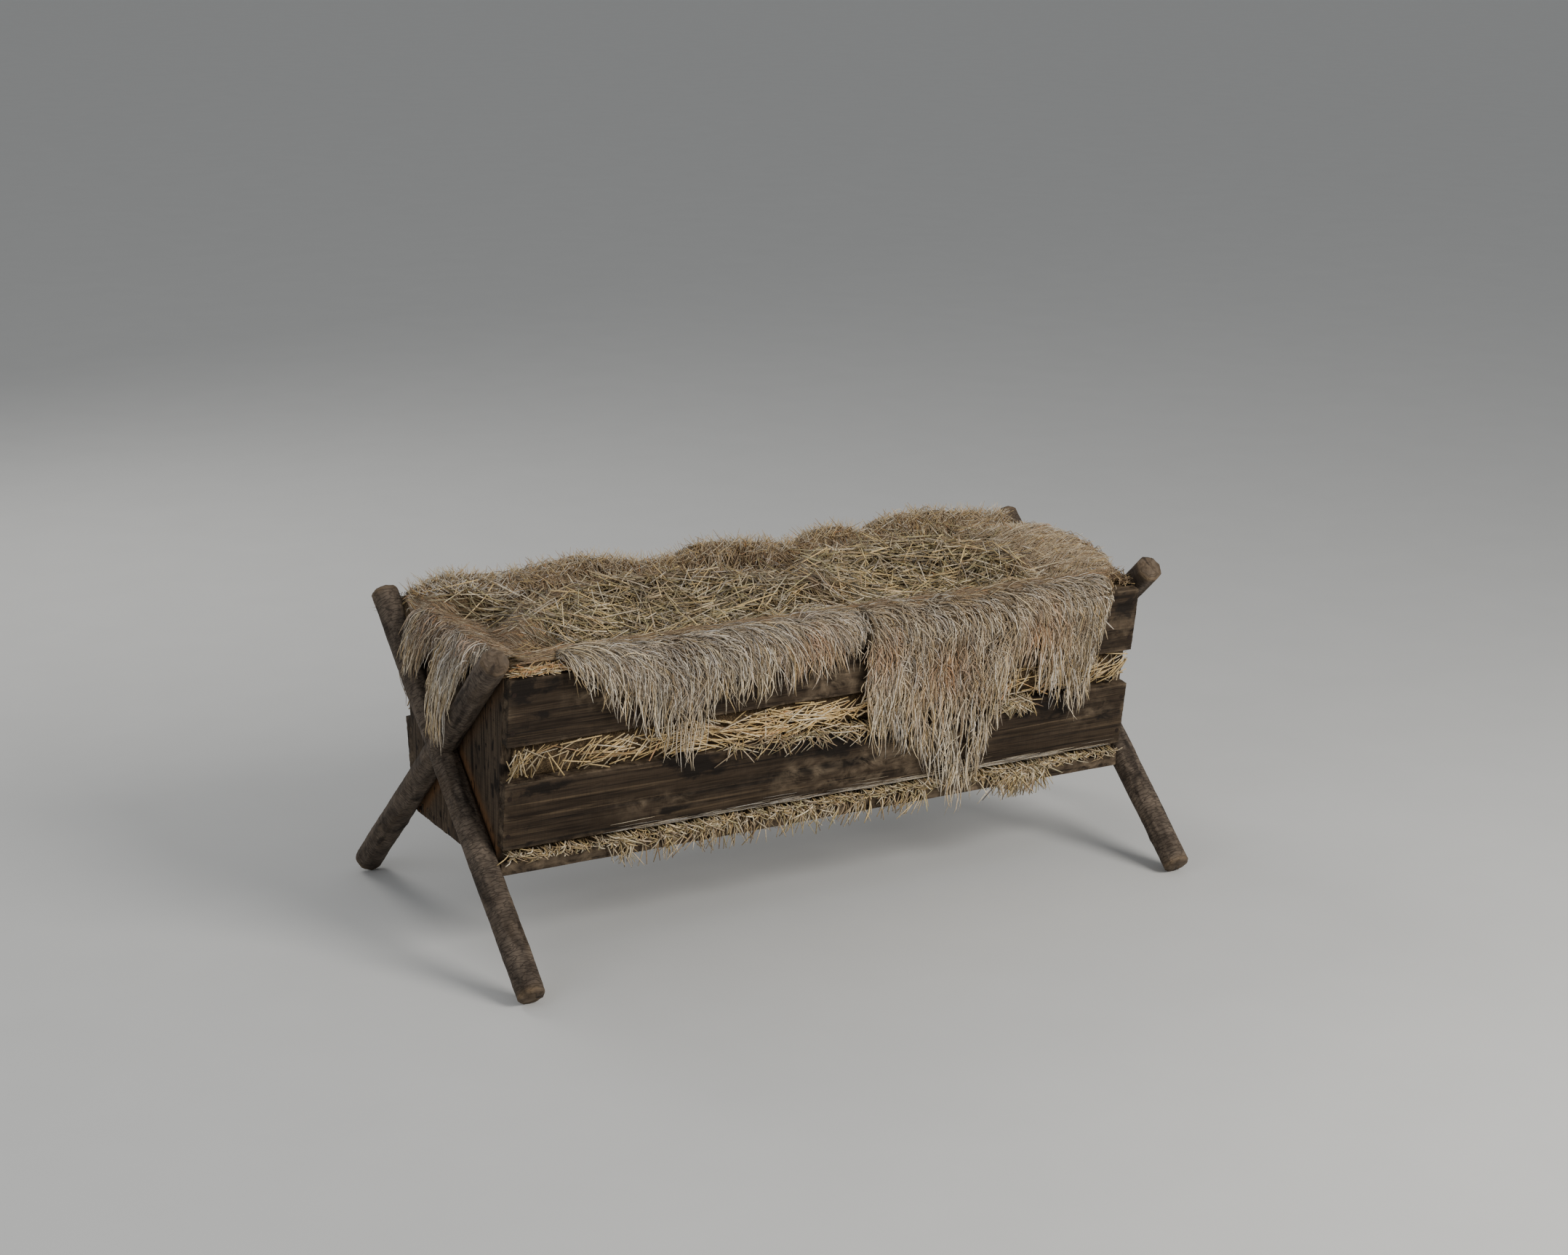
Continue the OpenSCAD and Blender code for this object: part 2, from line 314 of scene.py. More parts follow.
def weathered_wood(name, rotation, dark, light, seed):
    """Old rough-sawn wood with its grain along X once turned; marks are painted wear, stain, and a painted
    strip of warm light beside the poles.
    """
    n = Nodes(name)
    wear, stain, painted_pole_light = n.marks()

    def grain(along, across):
        return n.stretched(rotation, (along, across, across), shift_of(seed))

    fine = n.noise(grain(9, 340), 1, 4, 0.55, 0.3)
    bands = n.noise(grain(1.6, 66), 1, 4, 0.6, 1.4)
    streak = n.noise(grain(3, 170), 1, 4, 0.65, 0.5)
    lines = n.noise(grain(2.2, 120), 1, 3, 0.5, 0.3)
    blotch = n.noise(grain(9, 17), 1, 6, 0.62, 1.0)
    clouds = n.noise(grain(26, 42), 1, 7, 0.68, 0.6)
    saw = n.noise(grain(420, 26), 1, 3, 0.5, 0.2)
    soak = n.math("ADD", clouds, n.math("MULTIPLY", stain, 0.34))
    colour = n.layers(
        n.mix(n.ramp(bands, (0.34, 0), (0.66, 1)), dark, light),
        (n.ramp(blotch, (0.40, 0), (0.70, 0.55)), (74, 61, 48)),
        (n.ramp(fine, (0.38, 0.75), (0.52, 0)), (26, 19, 13)),
        (n.ramp(streak, (0.57, 0), (0.70, 0.5)), (112, 94, 72)),
        (n.ramp(lines, (0.34, 0.85), (0.42, 0)), (19, 14, 10)),
        (n.ramp(saw, (0.34, 0.22), (0.5, 0)), (34, 27, 21)),
        (n.math("MULTIPLY", wear, n.ramp(clouds, (0.40, 0), (0.62, 0.7))), (138, 120, 98)),
        # Painted light: a warm strip beside the poles.
        (n.math("MULTIPLY", painted_pole_light, n.ramp(clouds, (0.3, 0.4), (0.6, 0.85))), (124, 88, 56)),
        (n.ramp(soak, (0.62, 0), (0.76, 0.88)), (20, 15, 11)),
    )
    roughness = n.ramp(fine, (0.35, 0.92), (0.65, 0.76))
    height = n.math("ADD", n.math("MULTIPLY", streak, 0.8), n.math("MULTIPLY", fine, 0.7))
    height = n.math("ADD", height, n.math("MULTIPLY", saw, 0.25))
    return n.finish(colour, roughness, n.bump(height, 1.3 * MM), Specular_IOR_Level=0.22)


def bark(name, rotation, seed):
    """Thin brown bark with fine cracks round the pole, which runs along Z once turned."""
    n = Nodes(name)
    wear, stain, _ = n.marks()

    def along(length, round_it):
        return n.stretched(rotation, (round_it, round_it, length), shift_of(seed))

    rings = n.noise(along(420, 38), 1, 5, 0.6, 0.8)
    patch = n.noise(along(16, 26), 1, 6, 0.64, 0.8)
    clouds = n.noise(along(34, 40), 1, 6, 0.66, 0.5)
    runs = n.noise(along(9, 150), 1, 3, 0.6, 0.5)
    cells = {"Vector": n.crooked(along(150, 42), 1.1), "Scale": 1.0}
    cracks = n.add("TexVoronoi", cells, feature="DISTANCE_TO_EDGE").outputs["Distance"]
    soak = n.math("ADD", clouds, n.math("MULTIPLY", stain, 0.30))
    colour = n.layers(
        linear(64, 55, 47),
        (n.ramp(patch, (0.36, 0), (0.66, 1)), (112, 99, 86)),
        (n.ramp(rings, (0.36, 0.4), (0.5, 0)), (46, 38, 32)),
        (n.ramp(cracks, (0.02, 0.55), (0.09, 0)), (30, 24, 20)),
        (n.ramp(runs, (0.60, 0), (0.74, 0.3)), (120, 106, 90)),
        (n.math("MULTIPLY", wear, n.ramp(clouds, (0.38, 0.2), (0.6, 0.9))), (122, 102, 78)),
        (n.ramp(soak, (0.62, 0), (0.80, 0.72)), (26, 20, 17)),
    )
    roughness = n.ramp(rings, (0.35, 0.9), (0.65, 0.74))
    height = n.math("ADD", n.math("MULTIPLY", patch, 0.9), n.math("MULTIPLY", rings, 0.5))
    height = n.math("ADD", height, n.math("MULTIPLY", n.ramp(cracks, (0, 0), (0.12, 1)), 0.5))
    return n.finish(colour, roughness, n.bump(height, 1.2 * MM), Specular_IOR_Level=0.22)


def rusty_steel():
    n = Nodes("rusty_nail_steel")
    grain = n.noise(n.stretched(), 900, 4, 0.6)
    colour = n.mix(n.ramp(grain, (0.4, 0), (0.62, 1)), linear(32, 26, 22), linear(60, 44, 34))
    return n.finish(colour, n.ramp(grain, (0.3, 0.55), (0.7, 0.85)), n.bump(grain, 0.3 * MM), Metallic=0.6)


def packed_hay(name, dark, light):
    """Closely packed hay seen between the straws: short dark and pale dashes in all directions."""
    n = Nodes(name)
    turns = (0.2, 1.2, 2.3)
    dashes = [n.noise(n.stretched((0.3, 0.2, turn), (60, 900, 300)), 1, 3, 0.6, 0.9) for turn in turns]
    both = n.math("MAXIMUM", n.math("MAXIMUM", dashes[0], dashes[1]), dashes[2])
    broad = n.noise(n.stretched(), 14, 3, 0.6)
    colour = n.mix(n.ramp(both, (0.5, 0), (0.68, 1)), dark, light)
    colour = n.mix(n.ramp(broad, (0.4, 0.45), (0.6, 0)), colour, dark)
    roughness = n.ramp(both, (0.4, 0.95), (0.7, 0.7))
    return n.finish(colour, roughness, n.bump(both, 2.5 * MM), Specular_IOR_Level=0.2)


def straw(name, roughness):
    """Dry straw: each stalk's own tint, with fine darker and paler stretches along it."""
    n = Nodes(name)
    tint = n.add("VertexColor", layer_name="tint").outputs["Color"]
    mottle = n.noise(n.stretched(), 240, 3, 0.6)
    colour = n.mix(n.ramp(mottle, (0.38, 0.35), (0.6, 0)), tint, linear(120, 98, 66))
    return n.finish(colour, roughness, Specular_IOR_Level=0.45)


# The hay's looks: each is a material and the slot it belongs to.
PACKED = (packed_hay("packed_hay", linear(58, 46, 33), linear(132, 110, 80)), "hay")
MATTED = (packed_hay("matted_hay", linear(96, 82, 66), linear(150, 132, 108)), "pale_hay")
STIFF = (straw("stiff_straw", 0.5), "hay")
FINE = (straw("fine_straw", 0.55), "pale_hay")


# ---------- boards ----------

GRAIN_X = (0, 0, 0)
GRAIN_Z = (0, math.pi / 2, 0)


def oval(points, x, y, long_half, half_wide):
    """How near each point of a board is to the middle of an oval place on its face, from 1 down to 0."""
    along = (points[:, 0] - x * MM) / (long_half * MM)
    across = (points[:, 1] - y * MM) / (half_wide * MM)
    return np.exp(-(along**2 + across**2))


def board_marks(points, half, seed, spots, faded):
    """Wear along the edges and at faded places as red, stains in clouds and at spots as green."""
    to_edge = half[1] - np.abs(points[:, 1])
    to_end = half[0] - np.abs(points[:, 0])
    rag = layered_noise(points / (13 * MM), seed + 31, 2)
    wear = np.exp(-to_edge / (3.5 * MM)) * (0.75 + 0.5 * rag)
    wear += np.exp(-to_end / (5 * MM)) * (0.5 + 0.5 * rag)
    clouds = layered_noise(points * [1 / (95 * MM), 1 / (34 * MM), 1 / (34 * MM)], seed + 33, 3)
    stain = np.clip(clouds - 0.30, 0, 1) * 1.6
    for spot in spots:
        stain += oval(points, *spot) * (0.9 + 0.5 * rag)
    for place in faded:
        wear += oval(points, *place) * (0.5 + 0.6 * rag)
    return np.stack([np.clip(wear, 0, 1), np.clip(stain, 0, 1), np.zeros(len(points))], -1)


def board_points(half, seed, spots=(), faded=()):
    """A worn board about its own centre: X along the grain, Y across it, Z through its thickness."""
    half = np.array(half)
    edge = 3.2 * MM
    points, quads = box_shell(
        divided(half[0], edge, 7 * MM), divided(half[1], edge, 3 * MM), divided(half[2], edge, 5 * MM)
    )
    marks = board_marks(points, half, seed, spots, faded)
    wear = 1.5 * MM * (1 + 0.75 * layered_noise(points / (38 * MM), seed, 2))[:, None]
    core = np.clip(points, -half + wear, half - wear)
    out = unit(points - core)
    points = core + out * wear
    stretch = np.array([1 / (150 * MM), 1 / (7 * MM), 1 / (9 * MM)])
    grooves = np.clip(layered_noise(points * stretch, seed + 5, 2) - 0.35, 0, 1)
    dents = np.clip(layered_noise(points / (24 * MM), seed + 9, 2) - 0.5, 0, 1)
    near_end = ease((np.abs(points[:, 0]) - half[0] + 14 * MM) / (14 * MM))
    ragged = near_end * np.abs(noise(points / (6 * MM), seed + 2))
    depth = grooves * 0.9 * MM + dents * 1.6 * MM + ragged * 1.2 * MM + 0.15 * MM
    return points - out * depth[:, None], quads, marks


def side_plank(name, s0, seed, back, material, spots=(), faded=()):
    points, quads, marks = board_points((HALF_LEN, PLANK_W / 2, BOARD_T / 2), seed, spots, faded)
    placed = on_side(points[:, 0], points[:, 2] - BOARD_T / 2, s0 + PLANK_W / 2 + points[:, 1])
    if back:
        placed[:, 1] *= -1
        quads = quads[:, ::-1]
    piece(quad_mesh(name + "_worn", placed, quads[:, ::-1], marks), (material, "plank_wood"), name)


def floor_board(name, seed, material):
    lo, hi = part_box(name)
    half = np.array(hi - lo) / 2
    middle = np.array(hi + lo) / 2
    points, quads, marks = board_points(half, seed)
    piece(quad_mesh(name + "_worn", points + middle, quads, marks), (material, "floor_wood"), name)


def end_board(name, seed, material):
    """An upright board whose outer edge follows the lean of the sides, with a painted strip of warm light
    beside the poles it touches, on the left end only.
    """
    lo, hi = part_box(name)
    half = np.array([hi.z - lo.z, hi.y - lo.y, hi.x - lo.x]) / 2
    points, quads, marks = board_points(half, seed)
    z = (lo.z + hi.z) / 2 + points[:, 0]
    inner = inner_half_width(z)
    share = points[:, 1] / (2 * half[1]) + 0.5
    y0 = np.where(lo.y < -80 * MM, -inner, lo.y)
    y1 = np.where(hi.y > 80 * MM, inner, hi.y)
    placed = np.stack([(lo.x + hi.x) / 2 + points[:, 2], y0 + share * (y1 - y0), z], -1)
    rise = z - CROSSING_Z
    # Painted light: a warm strip beside each pole, full below the crossing, weaker above it, and on the left
    # end only.
    for way in (-1, 1):
        off = np.abs(rise * math.cos(POLE_ANGLE) - way * placed[:, 1] * math.sin(POLE_ANGLE))
        level = np.where(rise < 0, 1, 0.35) * (placed[:, 0] < 4 * MM - HALF_LEN)
        marks[:, 2] += np.exp(-(((off - 19 * MM) / (11 * MM)) ** 2)) * level
    flecks = noise(points * [1 / (13 * MM), 1 / (5 * MM), 0], seed + 61)
    marks[:, 1] += 2.2 * np.clip(flecks - 0.42, 0, 1)
    marks[:, 0] *= 0.35
    worn = quad_mesh(name + "_worn", placed, quads[:, ::-1], np.clip(marks, 0, 1))
    piece(worn, (material, "end_wood"), name)


def make_boards():
    browns = (linear(35, 26, 18), linear(58, 46, 33))
    plank_wood = [weathered_wood(f"plank_wood_{i}", GRAIN_X, *browns, i + 1) for i in range(4)]
    end_wood = weathered_wood("end_wood", GRAIN_Z, linear(66, 55, 44), linear(94, 80, 64), 7)
    floor_wood = weathered_wood("floor_wood", GRAIN_X, linear(42, 34, 26), linear(66, 55, 43), 9)
    upper_spots = ((-580, 42, 20, 16), (572, 30, 30, 24), (-540, -10, 24, 10))
    upper_faded = ((-30, -34, 90, 26), (40, -32, 80, 34), (575, -6, 40, 40), (-430, 10, 60, 20))
    side_plank("front_upper_plank", UPPER_S, 11, False, plank_wood[0], upper_spots, upper_faded)
    lower_spots = (
        (-520, 44, 60, 12), (-240, 28, 40, 18), (-60, 40, 110, 20), (440, 42, 70, 26), (20, 26, 30, 26),
    )
    lower_faded = ((-10, -14, 120, 30), (130, -22, 150, 34), (-330, -20, 70, 18), (530, 14, 40, 26))
    side_plank("front_lower_plank", LOWER_S, 12, False, plank_wood[1], lower_spots, lower_faded)
    side_plank("back_upper_plank", UPPER_S, 13, True, plank_wood[2], ((-300, 30, 60, 20),))
    side_plank("back_lower_plank", LOWER_S, 14, True, plank_wood[3], ((240, 36, 70, 20), (-460, 20, 40, 22)))
    for i, part in enumerate(("front", "middle", "back")):
        floor_board(f"floor_board_{part}", 21 + i, floor_wood)
        end_board(f"left_end_board_{part}", 31 + i, end_wood)
        end_board(f"right_end_board_{part}", 41 + i, end_wood)


# ---------- poles ----------

POLE_LEN = FOOT_REACH + TOP_REACH
POLE_CHAMFER = 4.5 * MM
POLE_RINGS = 170
POLE_SIDES = 64
POLE_END = np.array([0.3, 0.6, 0.86])
POLE_CLEAR = 0.05 * MM
KNOTS = 6


def pole_grid():
    """Rings of points on a pole that close in at both ends: distance along it, angle and radius."""
    body_s = np.linspace(POLE_CHAMFER, POLE_LEN - POLE_CHAMFER, POLE_RINGS)
    s = np.concatenate([[0] * 3, body_s, [POLE_LEN] * 3])
    r = np.concatenate([POLE_END, np.ones(POLE_RINGS), POLE_END[::-1]]) * POLE_R
    s, angle = np.meshgrid(s, np.arange(POLE_SIDES) * 2 * math.pi / POLE_SIDES, indexing="ij")
    return s, angle, r[:, None]


def pole_skin(s, angle, r, seed):
    """A pole's own radius and marks: roughly eight-sided, with knots, stains and worn ends."""
    rng = np.random.default_rng(seed)

    def skin(detail, stretch, shift):
        place = np.stack([np.cos(angle) * detail, np.sin(angle) * detail, s / stretch], -1)
        return layered_noise(place, seed + shift, 2)

    twist = angle + 0.25 * noise(flat(s / (160 * MM)), seed)
    facet = math.cos(math.pi / 8) / np.cos((twist % (math.pi / 4)) - math.pi / 8)
    relief = POLE_R * (facet - 1) * 0.65
    relief += 0.8 * MM * skin(2.2, 80 * MM, 0) + 0.4 * MM * skin(7, 8 * MM, 3) - 0.8 * MM
    stain = np.clip(skin(1.6, 60 * MM, 7) - 0.25, 0, 1) * 1.5
    for _ in range(KNOTS):
        at, turn = rng.uniform(0.08, 0.92) * POLE_LEN, rng.uniform(0, 2 * math.pi)
        far = ((s - at) / (10 * MM)) ** 2 + ((np.cos(angle - turn) - 1) * 10) ** 2
        relief += 1.5 * MM * np.exp(-far) * rng.choice([-1, 1])
        stain += 0.8 * np.exp(-far * 0.7)
    body = r > 0.8 * POLE_R
    radius = r * np.where(body, 1, facet) + np.where(body, relief, 0)
    to_chamfer = np.abs(np.minimum(s, POLE_LEN - s) - POLE_CHAMFER)
    wear = np.exp(-to_chamfer / (5 * MM)) * 0.8 + 0.25 * np.clip(skin(1.5, 40 * MM, 9), 0, 1)
    marks = np.stack([np.clip(wear, 0, 1), np.clip(stain, 0, 1), np.zeros_like(wear)], -1)
    return radius, marks.reshape(-1, 3)


def pole_faces(rings, flip):
    """Corners and starts of the quads between the rings of a pole, with a cap at each end."""
    ids = np.arange(rings * POLE_SIDES).reshape(rings, POLE_SIDES)
    nxt = np.roll(ids, -1, axis=1)
    quads = np.stack([ids[:-1], nxt[:-1], nxt[1:], ids[1:]], -1).reshape(-1, 4)
    faces = [quads, ids[:1, ::-1], ids[-1:]]
    corners = np.concatenate([(face[:, ::-1] if flip else face).ravel() for face in faces])
    caps = quads.size + np.array([0, POLE_SIDES])
    return corners, np.concatenate([np.arange(len(quads)) * 4, caps])


def round_pole(name, side, lean, seed, material):
    """A barked pole at one end, with seats flat against the end boards; lean is the way it slopes."""
    s, angle, r = pole_grid()
    radius, marks = pole_skin(s, angle, r, seed)
    across, forward = radius * np.cos(angle), radius * np.sin(angle)
    rough_end = 0.6 * MM * noise(np.stack([across, forward, s], -1) / (5 * MM), seed)
    at_end = np.minimum(s, POLE_LEN - s) < 1e-6
    along = s - FOOT_REACH + np.where(at_end, rough_end, 0)
    points = np.stack([
        POLE_X + across,
        lean * (along * math.cos(POLE_ANGLE) - forward * math.sin(POLE_ANGLE)),
        CROSSING_Z + along * math.sin(POLE_ANGLE) + forward * math.cos(POLE_ANGLE),
    ], -1).reshape(-1, 3)
    seat = (points[:, 2] > FLOOR_Z - 4 * MM) & (points[:, 2] < RIM_Z + 3 * MM)
    points[seat, 0] = np.maximum(points[seat, 0], HALF_LEN + POLE_CLEAR)
    points[:, 2] = np.maximum(points[:, 2], 0)
    points[:, 0] *= side
    corners, starts = pole_faces(len(s), side * lean > 0)
    barked = new_mesh(name + "_bark", points, corners, starts, tint=marks)
    piece(barked, (material, "pole_wood"), name)


def make_poles():
    lean_one = bark("bark_one", (math.pi / 2 - POLE_ANGLE, 0, 0), 1)
    lean_two = bark("bark_two", (POLE_ANGLE - math.pi / 2, 0, 0), 4)
    for i, (side, word) in enumerate(((-1, "left"), (1, "right"))):
        round_pole(f"{word}_pole_outer", side, 1, 51 + i, lean_one)
        round_pole(f"{word}_pole_inner", side, -1, 61 + i, lean_two)


def make_nails():
    """The nails keep their CAD meshes and only take a material."""
    steel = rusty_steel()
    for nails in ("plank_nails", "floor_nails", "pole_nails"):
        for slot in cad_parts[nails].material_slots:
            slot.material = steel


# ---------- hay: the heap's surface and the rims ----------

# The rises are blended by a power mean, and the heap's edge is rounded off by a power too.
BLEND = 5
ROUNDNESS = 2.4
HOLLOW = 8 * MM
FRONT_RIDGE_H = 28 * MM
FRONT_RIDGE = (-207 * MM, 28 * MM)
BACK_RIDGE = (188 * MM, 38 * MM)
LEFT_RIDGE_H = 21 * MM
LEFT_RIDGE = (-582 * MM, 30 * MM)
# The back ridge's line: (x, height) in millimetres.
BACK_CREST = (
    (-590, 36), (-560, 46), (-509, 58), (-466, 44), (-422, 43), (-358, 49), (-285, 58), (-216, 50),
    (-154, 34), (-97, 37), (-50, 54), (0, 55), (97, 41), (144, 31), (186, 50), (235, 54),
    (262, 50), (290, 32), (315, 52), (370, 63), (464, 58), (528, 50), (590, 40),
)
# Dishes and mounds: (x, y, half length, half width, height) in millimetres.
DISHES = (
    (-240, -95, 268, 188, 40),
    (228, -105, 205, 205, 46),
)
MOUNDS = (
    (538, -8, 118, 190, 45),
    (-530, 150, 78, 66, 37),
)
# Bare front corners: (where the heap starts to draw back, over what length, its reach there).
BARE_LEFT = (-462 * MM, 60 * MM, 226 * MM)
BARE_RIGHT = (532 * MM, 34 * MM, 184 * MM)
OVERHANG_Y = 251 * MM


def hill(value, centre, half):
    return np.exp(-(((value - centre) / half) ** 2))


def back_crest(x):
    """Height of the heap's ridge along the back rim."""
    crest_x, crest = np.array(BACK_CREST).T * MM
    return np.interp(x, crest_x, crest) - 3 * MM


def heap_half_width(x, y):
    """How far the heap reaches past the middle: it overhangs the sides except at its bare front corners."""
    left = ease((BARE_LEFT[0] - x) / BARE_LEFT[1]) * (BARE_LEFT[2] - OVERHANG_Y)
    right = ease((x - BARE_RIGHT[0]) / BARE_RIGHT[1]) * (BARE_RIGHT[2] - OVERHANG_Y)
    return OVERHANG_Y + (left + right) * (y < 0)


def heap_height(x, y):
    """Height of the heap's surface: a ridge along each rim, mounds between them, and round shoulders."""
    x, y = np.broadcast_arrays(np.asarray(x, float), np.asarray(y, float))
    rises = [
        np.full_like(x, HOLLOW),
        FRONT_RIDGE_H * hill(y, *FRONT_RIDGE),
        back_crest(x) * hill(y, *BACK_RIDGE),
        LEFT_RIDGE_H * hill(x, *LEFT_RIDGE),
    ]
    for mx, my, half_l, half_w, height in DISHES:
        reach = np.hypot((x / MM - mx) / half_l, (y / MM - my) / half_w)
        far_half = ease((y / MM - my + 70) / 90)
        rises.append(height * MM * far_half * hill(reach, 1, np.where(reach < 1, 0.6, 0.13)))
    for mx, my, half_l, half_w, height in MOUNDS:
        reach = ((x - mx * MM) / (half_l * MM)) ** 2 + ((y - my * MM) / (half_w * MM)) ** 2
        rises.append((HOLLOW * 0.9 + height * MM) * np.clip(1 - reach, 0, 1) ** 0.85)
    rise = sum(r**BLEND for r in rises) ** (1 / BLEND)
    rise = rise + 2.5 * MM * layered_noise(flat(x, y) / (45 * MM), 3, 2)
    end_x = HALF_LEN + 12 * MM
    long_way, short_way = (
        np.clip(1 + (np.abs(at) - limit) / soft, 0, 1) ** ROUNDNESS
        for at, limit, soft in ((x, end_x, 40 * MM), (y, heap_half_width(x, y), 42 * MM))
    )
    shoulder = np.sqrt((1 - long_way) * (1 - short_way))
    return RIM_Z + np.clip(rise, 2 * MM, None) * shoulder


# No straw goes above this: 3% and 6 mm over the CAD's top.
CEILING = 1.03 * cad_bounds[1].z + 6 * MM


class Rim:
    """The line hay follows over a rim, as distances out from the rim's face and up from its top."""

    def __init__(self, *points):
        rough = np.array(points, float) * MM
        travel = np.concatenate([[0], np.cumsum(np.linalg.norm(np.diff(rough, axis=0), axis=1))])
        fine = np.linspace(0, travel[-1], 400)
        line = np.stack([np.interp(fine, travel, rough[:, k]) for k in range(2)], -1)
        wide = np.pad(line, ((12, 12), (0, 0)), mode="reflect", reflect_type="odd")
        self.line = np.stack([np.convolve(wide[:, k], np.ones(25) / 25, "valid") for k in range(2)], -1)
        self.travel = fine - travel[1]
        slope = unit(np.gradient(self.line, axis=0))
        self.outward = np.stack([-slope[:, 1], slope[:, 0]], -1)
        self.outward *= np.sign(self.outward[-1, 0])

    def at(self, over, lift):
        """The point a given way over the rim from its ridge, lifted off the hay's own surface."""
        at, out = (
            np.stack([np.interp(over, self.travel, line[:, k]) for k in range(2)], -1)
            for line in (self.line, self.outward)
        )
        return np.moveaxis(at + out * np.asarray(lift)[..., None], -1, 0)


FRONT_RIM = Rim(
    (-80, 10), (-28, 28), (-2, 24), (13, 9), (18, -12), (15, -45), (11, -110), (10, -300), (10, -430)
)
BACK_RIM = Rim((-130, 16), (-50, 50), (-14, 43), (9, 20), (18, -2), (15, -45), (11, -110), (10, -300))
END_RIM = Rim(
    (-90, 10), (-22, 22), (4, 13), (19, -6), (31, -28), (42, -56), (50, -92), (52, -125), (52, -300)
)


def over_front(x, over, lift):
    out, up = FRONT_RIM.at(over, lift)
    return on_side(x, out, TOP_S + up)


def over_back(x, over, lift):
    out, up = BACK_RIM.at(over, lift)
    level = np.clip(back_crest(x) / (50 * MM), 0.4, 1.2)
    return on_side(x, out, TOP_S + np.where(up > 0, up * level, up)) * [1, -1, 1]


def over_left(y, over, lift):
    out, up = END_RIM.at(over, lift)
    return np.stack([-HALF_LEN - out, y, RIM_Z + up], -1)


def over_right(y, over, lift):
    out, up = END_RIM.at(over, lift)
    level = (heap_height(HALF_LEN - 30 * MM, y) - RIM_Z) / (24 * MM)
    return np.stack([HALF_LEN + out, y, RIM_Z + np.where(up > 0, level * up, up)], -1)


# ---------- hay: stalks ----------

STALK_SIDES = 3
# Tints brighter than this are scaled down, which keeps their hue.
BRIGHTEST = 0.92
# How thickness and brightness change from root to tip.
STIFF_TAPER = (1, 0.97, 0.92, 0.8)
STIFF_TONES = (0.95, 1, 1, 1.05)
FINE_TAPER = (0.6, 1, 1, 0.9, 0.7, 0.3)
ROLL_TONES = (0.75, 0.8, 0.85, 0.9, 0.92, 0.95)
SHADES = {
    "golden": linear(216, 187, 132),
    "pale": linear(226, 212, 184),
    "green": linear(180, 168, 124),
    "tan": linear(176, 152, 122),
    "brown": linear(124, 101, 78),
    "orange": linear(208, 152, 102),
    # The white shade is painted sheen: straws tinted with it stand for the highlights along lit straws.
    "white": linear(238, 233, 224),
    "grey": linear(170, 160, 148),
}


def sharing(rng, tufts, fibres):
    """A function that draws one value per tuft, the same for each of its fibres."""
    return lambda kind, *limits: np.repeat(getattr(rng, kind)(*limits, tufts), fibres)


def tints_of(rng, count, **shares):
    """A random tint for each of count stalks, drawn from the named shades by share."""
    names = list(shares)
    weights = np.array([shares[k] for k in names], float)
    table = np.array([SHADES[k] for k in names])
    a, b = (rng.choice(len(names), count, p=weights / weights.sum()) for _ in range(2))
    blend = rng.uniform(0, 0.6, (count, 1))
    return (table[a] * (1 - blend) + table[b] * blend) * rng.uniform(0.75, 1.15, (count, 1))


def stalk_template(steps):
    """One stalk's faces: their corners, where each face begins, and a UV for each corner."""
    i, j = np.meshgrid(np.arange(steps - 1), np.arange(STALK_SIDES), indexing="ij")
    k = (j + 1) % STALK_SIDES
    here, ahead = i * STALK_SIDES, (i + 1) * STALK_SIDES
    wall = np.stack([here + j, here + k, ahead + k, ahead + j], -1)
    last = (steps - 1) * STALK_SIDES
    corners = np.concatenate([wall.ravel(), [2, 1, 0], [last, last + 1, last + 2]])
    starts = np.concatenate([np.arange(wall.size // 4) * 4, [wall.size, wall.size + 3]])
    round_it = np.stack([j, j + 1, j + 1, j], -1) / STALK_SIDES
    along_it = np.stack([i, i, i + 1, i + 1], -1) / (steps - 1)
    cap_uv = np.array([[0.9, 0], [0.5, 0], [0.1, 0], [0.1, 1], [0.5, 1], [0.9, 1]])
    uv = np.concatenate([np.stack([round_it, along_it], -1).reshape(-1, 2), cap_uv])
    return corners, starts, uv * 0.76 + 0.12


def stalks(name, paths, thick, taper, tints, tones, look, *nodes):
    """Thin closed three-sided stalks along paths (stalk, point, xyz).

    Each has a radius in millimetres and a tint; taper and tones spread these over its points.
    """
    count, steps = paths.shape[:2]
    rng = np.random.default_rng(len(name) * 7919 + count)
    tangent = unit(np.gradient(paths, axis=1))
    reference = unit(np.cross(tangent.mean(1), rng.normal(size=(count, 3))))[:, None]
    across = unit(np.cross(tangent, reference))
    upward = np.cross(across, tangent)
    turn = np.arange(STALK_SIDES) * 2 * math.pi / STALK_SIDES
    ring = across[:, :, None] * np.cos(turn)[:, None] + upward[:, :, None] * np.sin(turn)[:, None]
    radii = (thick * MM)[:, None] * np.array(taper)
    points = paths[:, :, None] + ring * radii[:, :, None, None]
    one, one_starts, one_uv = stalk_template(steps)
    each = np.arange(count)[:, None]
    corners = (one + each * steps * STALK_SIDES).ravel()
    starts = (one_starts + each * len(one)).ravel()
    columns = math.ceil(math.sqrt(count * 3))
    rows = math.ceil(count / columns)
    cell = np.concatenate([each % columns, each // columns], 1)
    uv = (one_uv + cell[:, None]) / [columns, rows]
    tints = tints[:, None] * np.array(tones)[None, :, None]
    tint = np.repeat(tints, STALK_SIDES, axis=1).reshape(-1, 3)
    tint = tint / np.maximum(tint.max(axis=1, keepdims=True) / BRIGHTEST, 1)
    obj = new_mesh(name, points.reshape(-1, 3), corners, starts, uv.reshape(-1, 2), tint)
    piece(obj, look, *nodes)


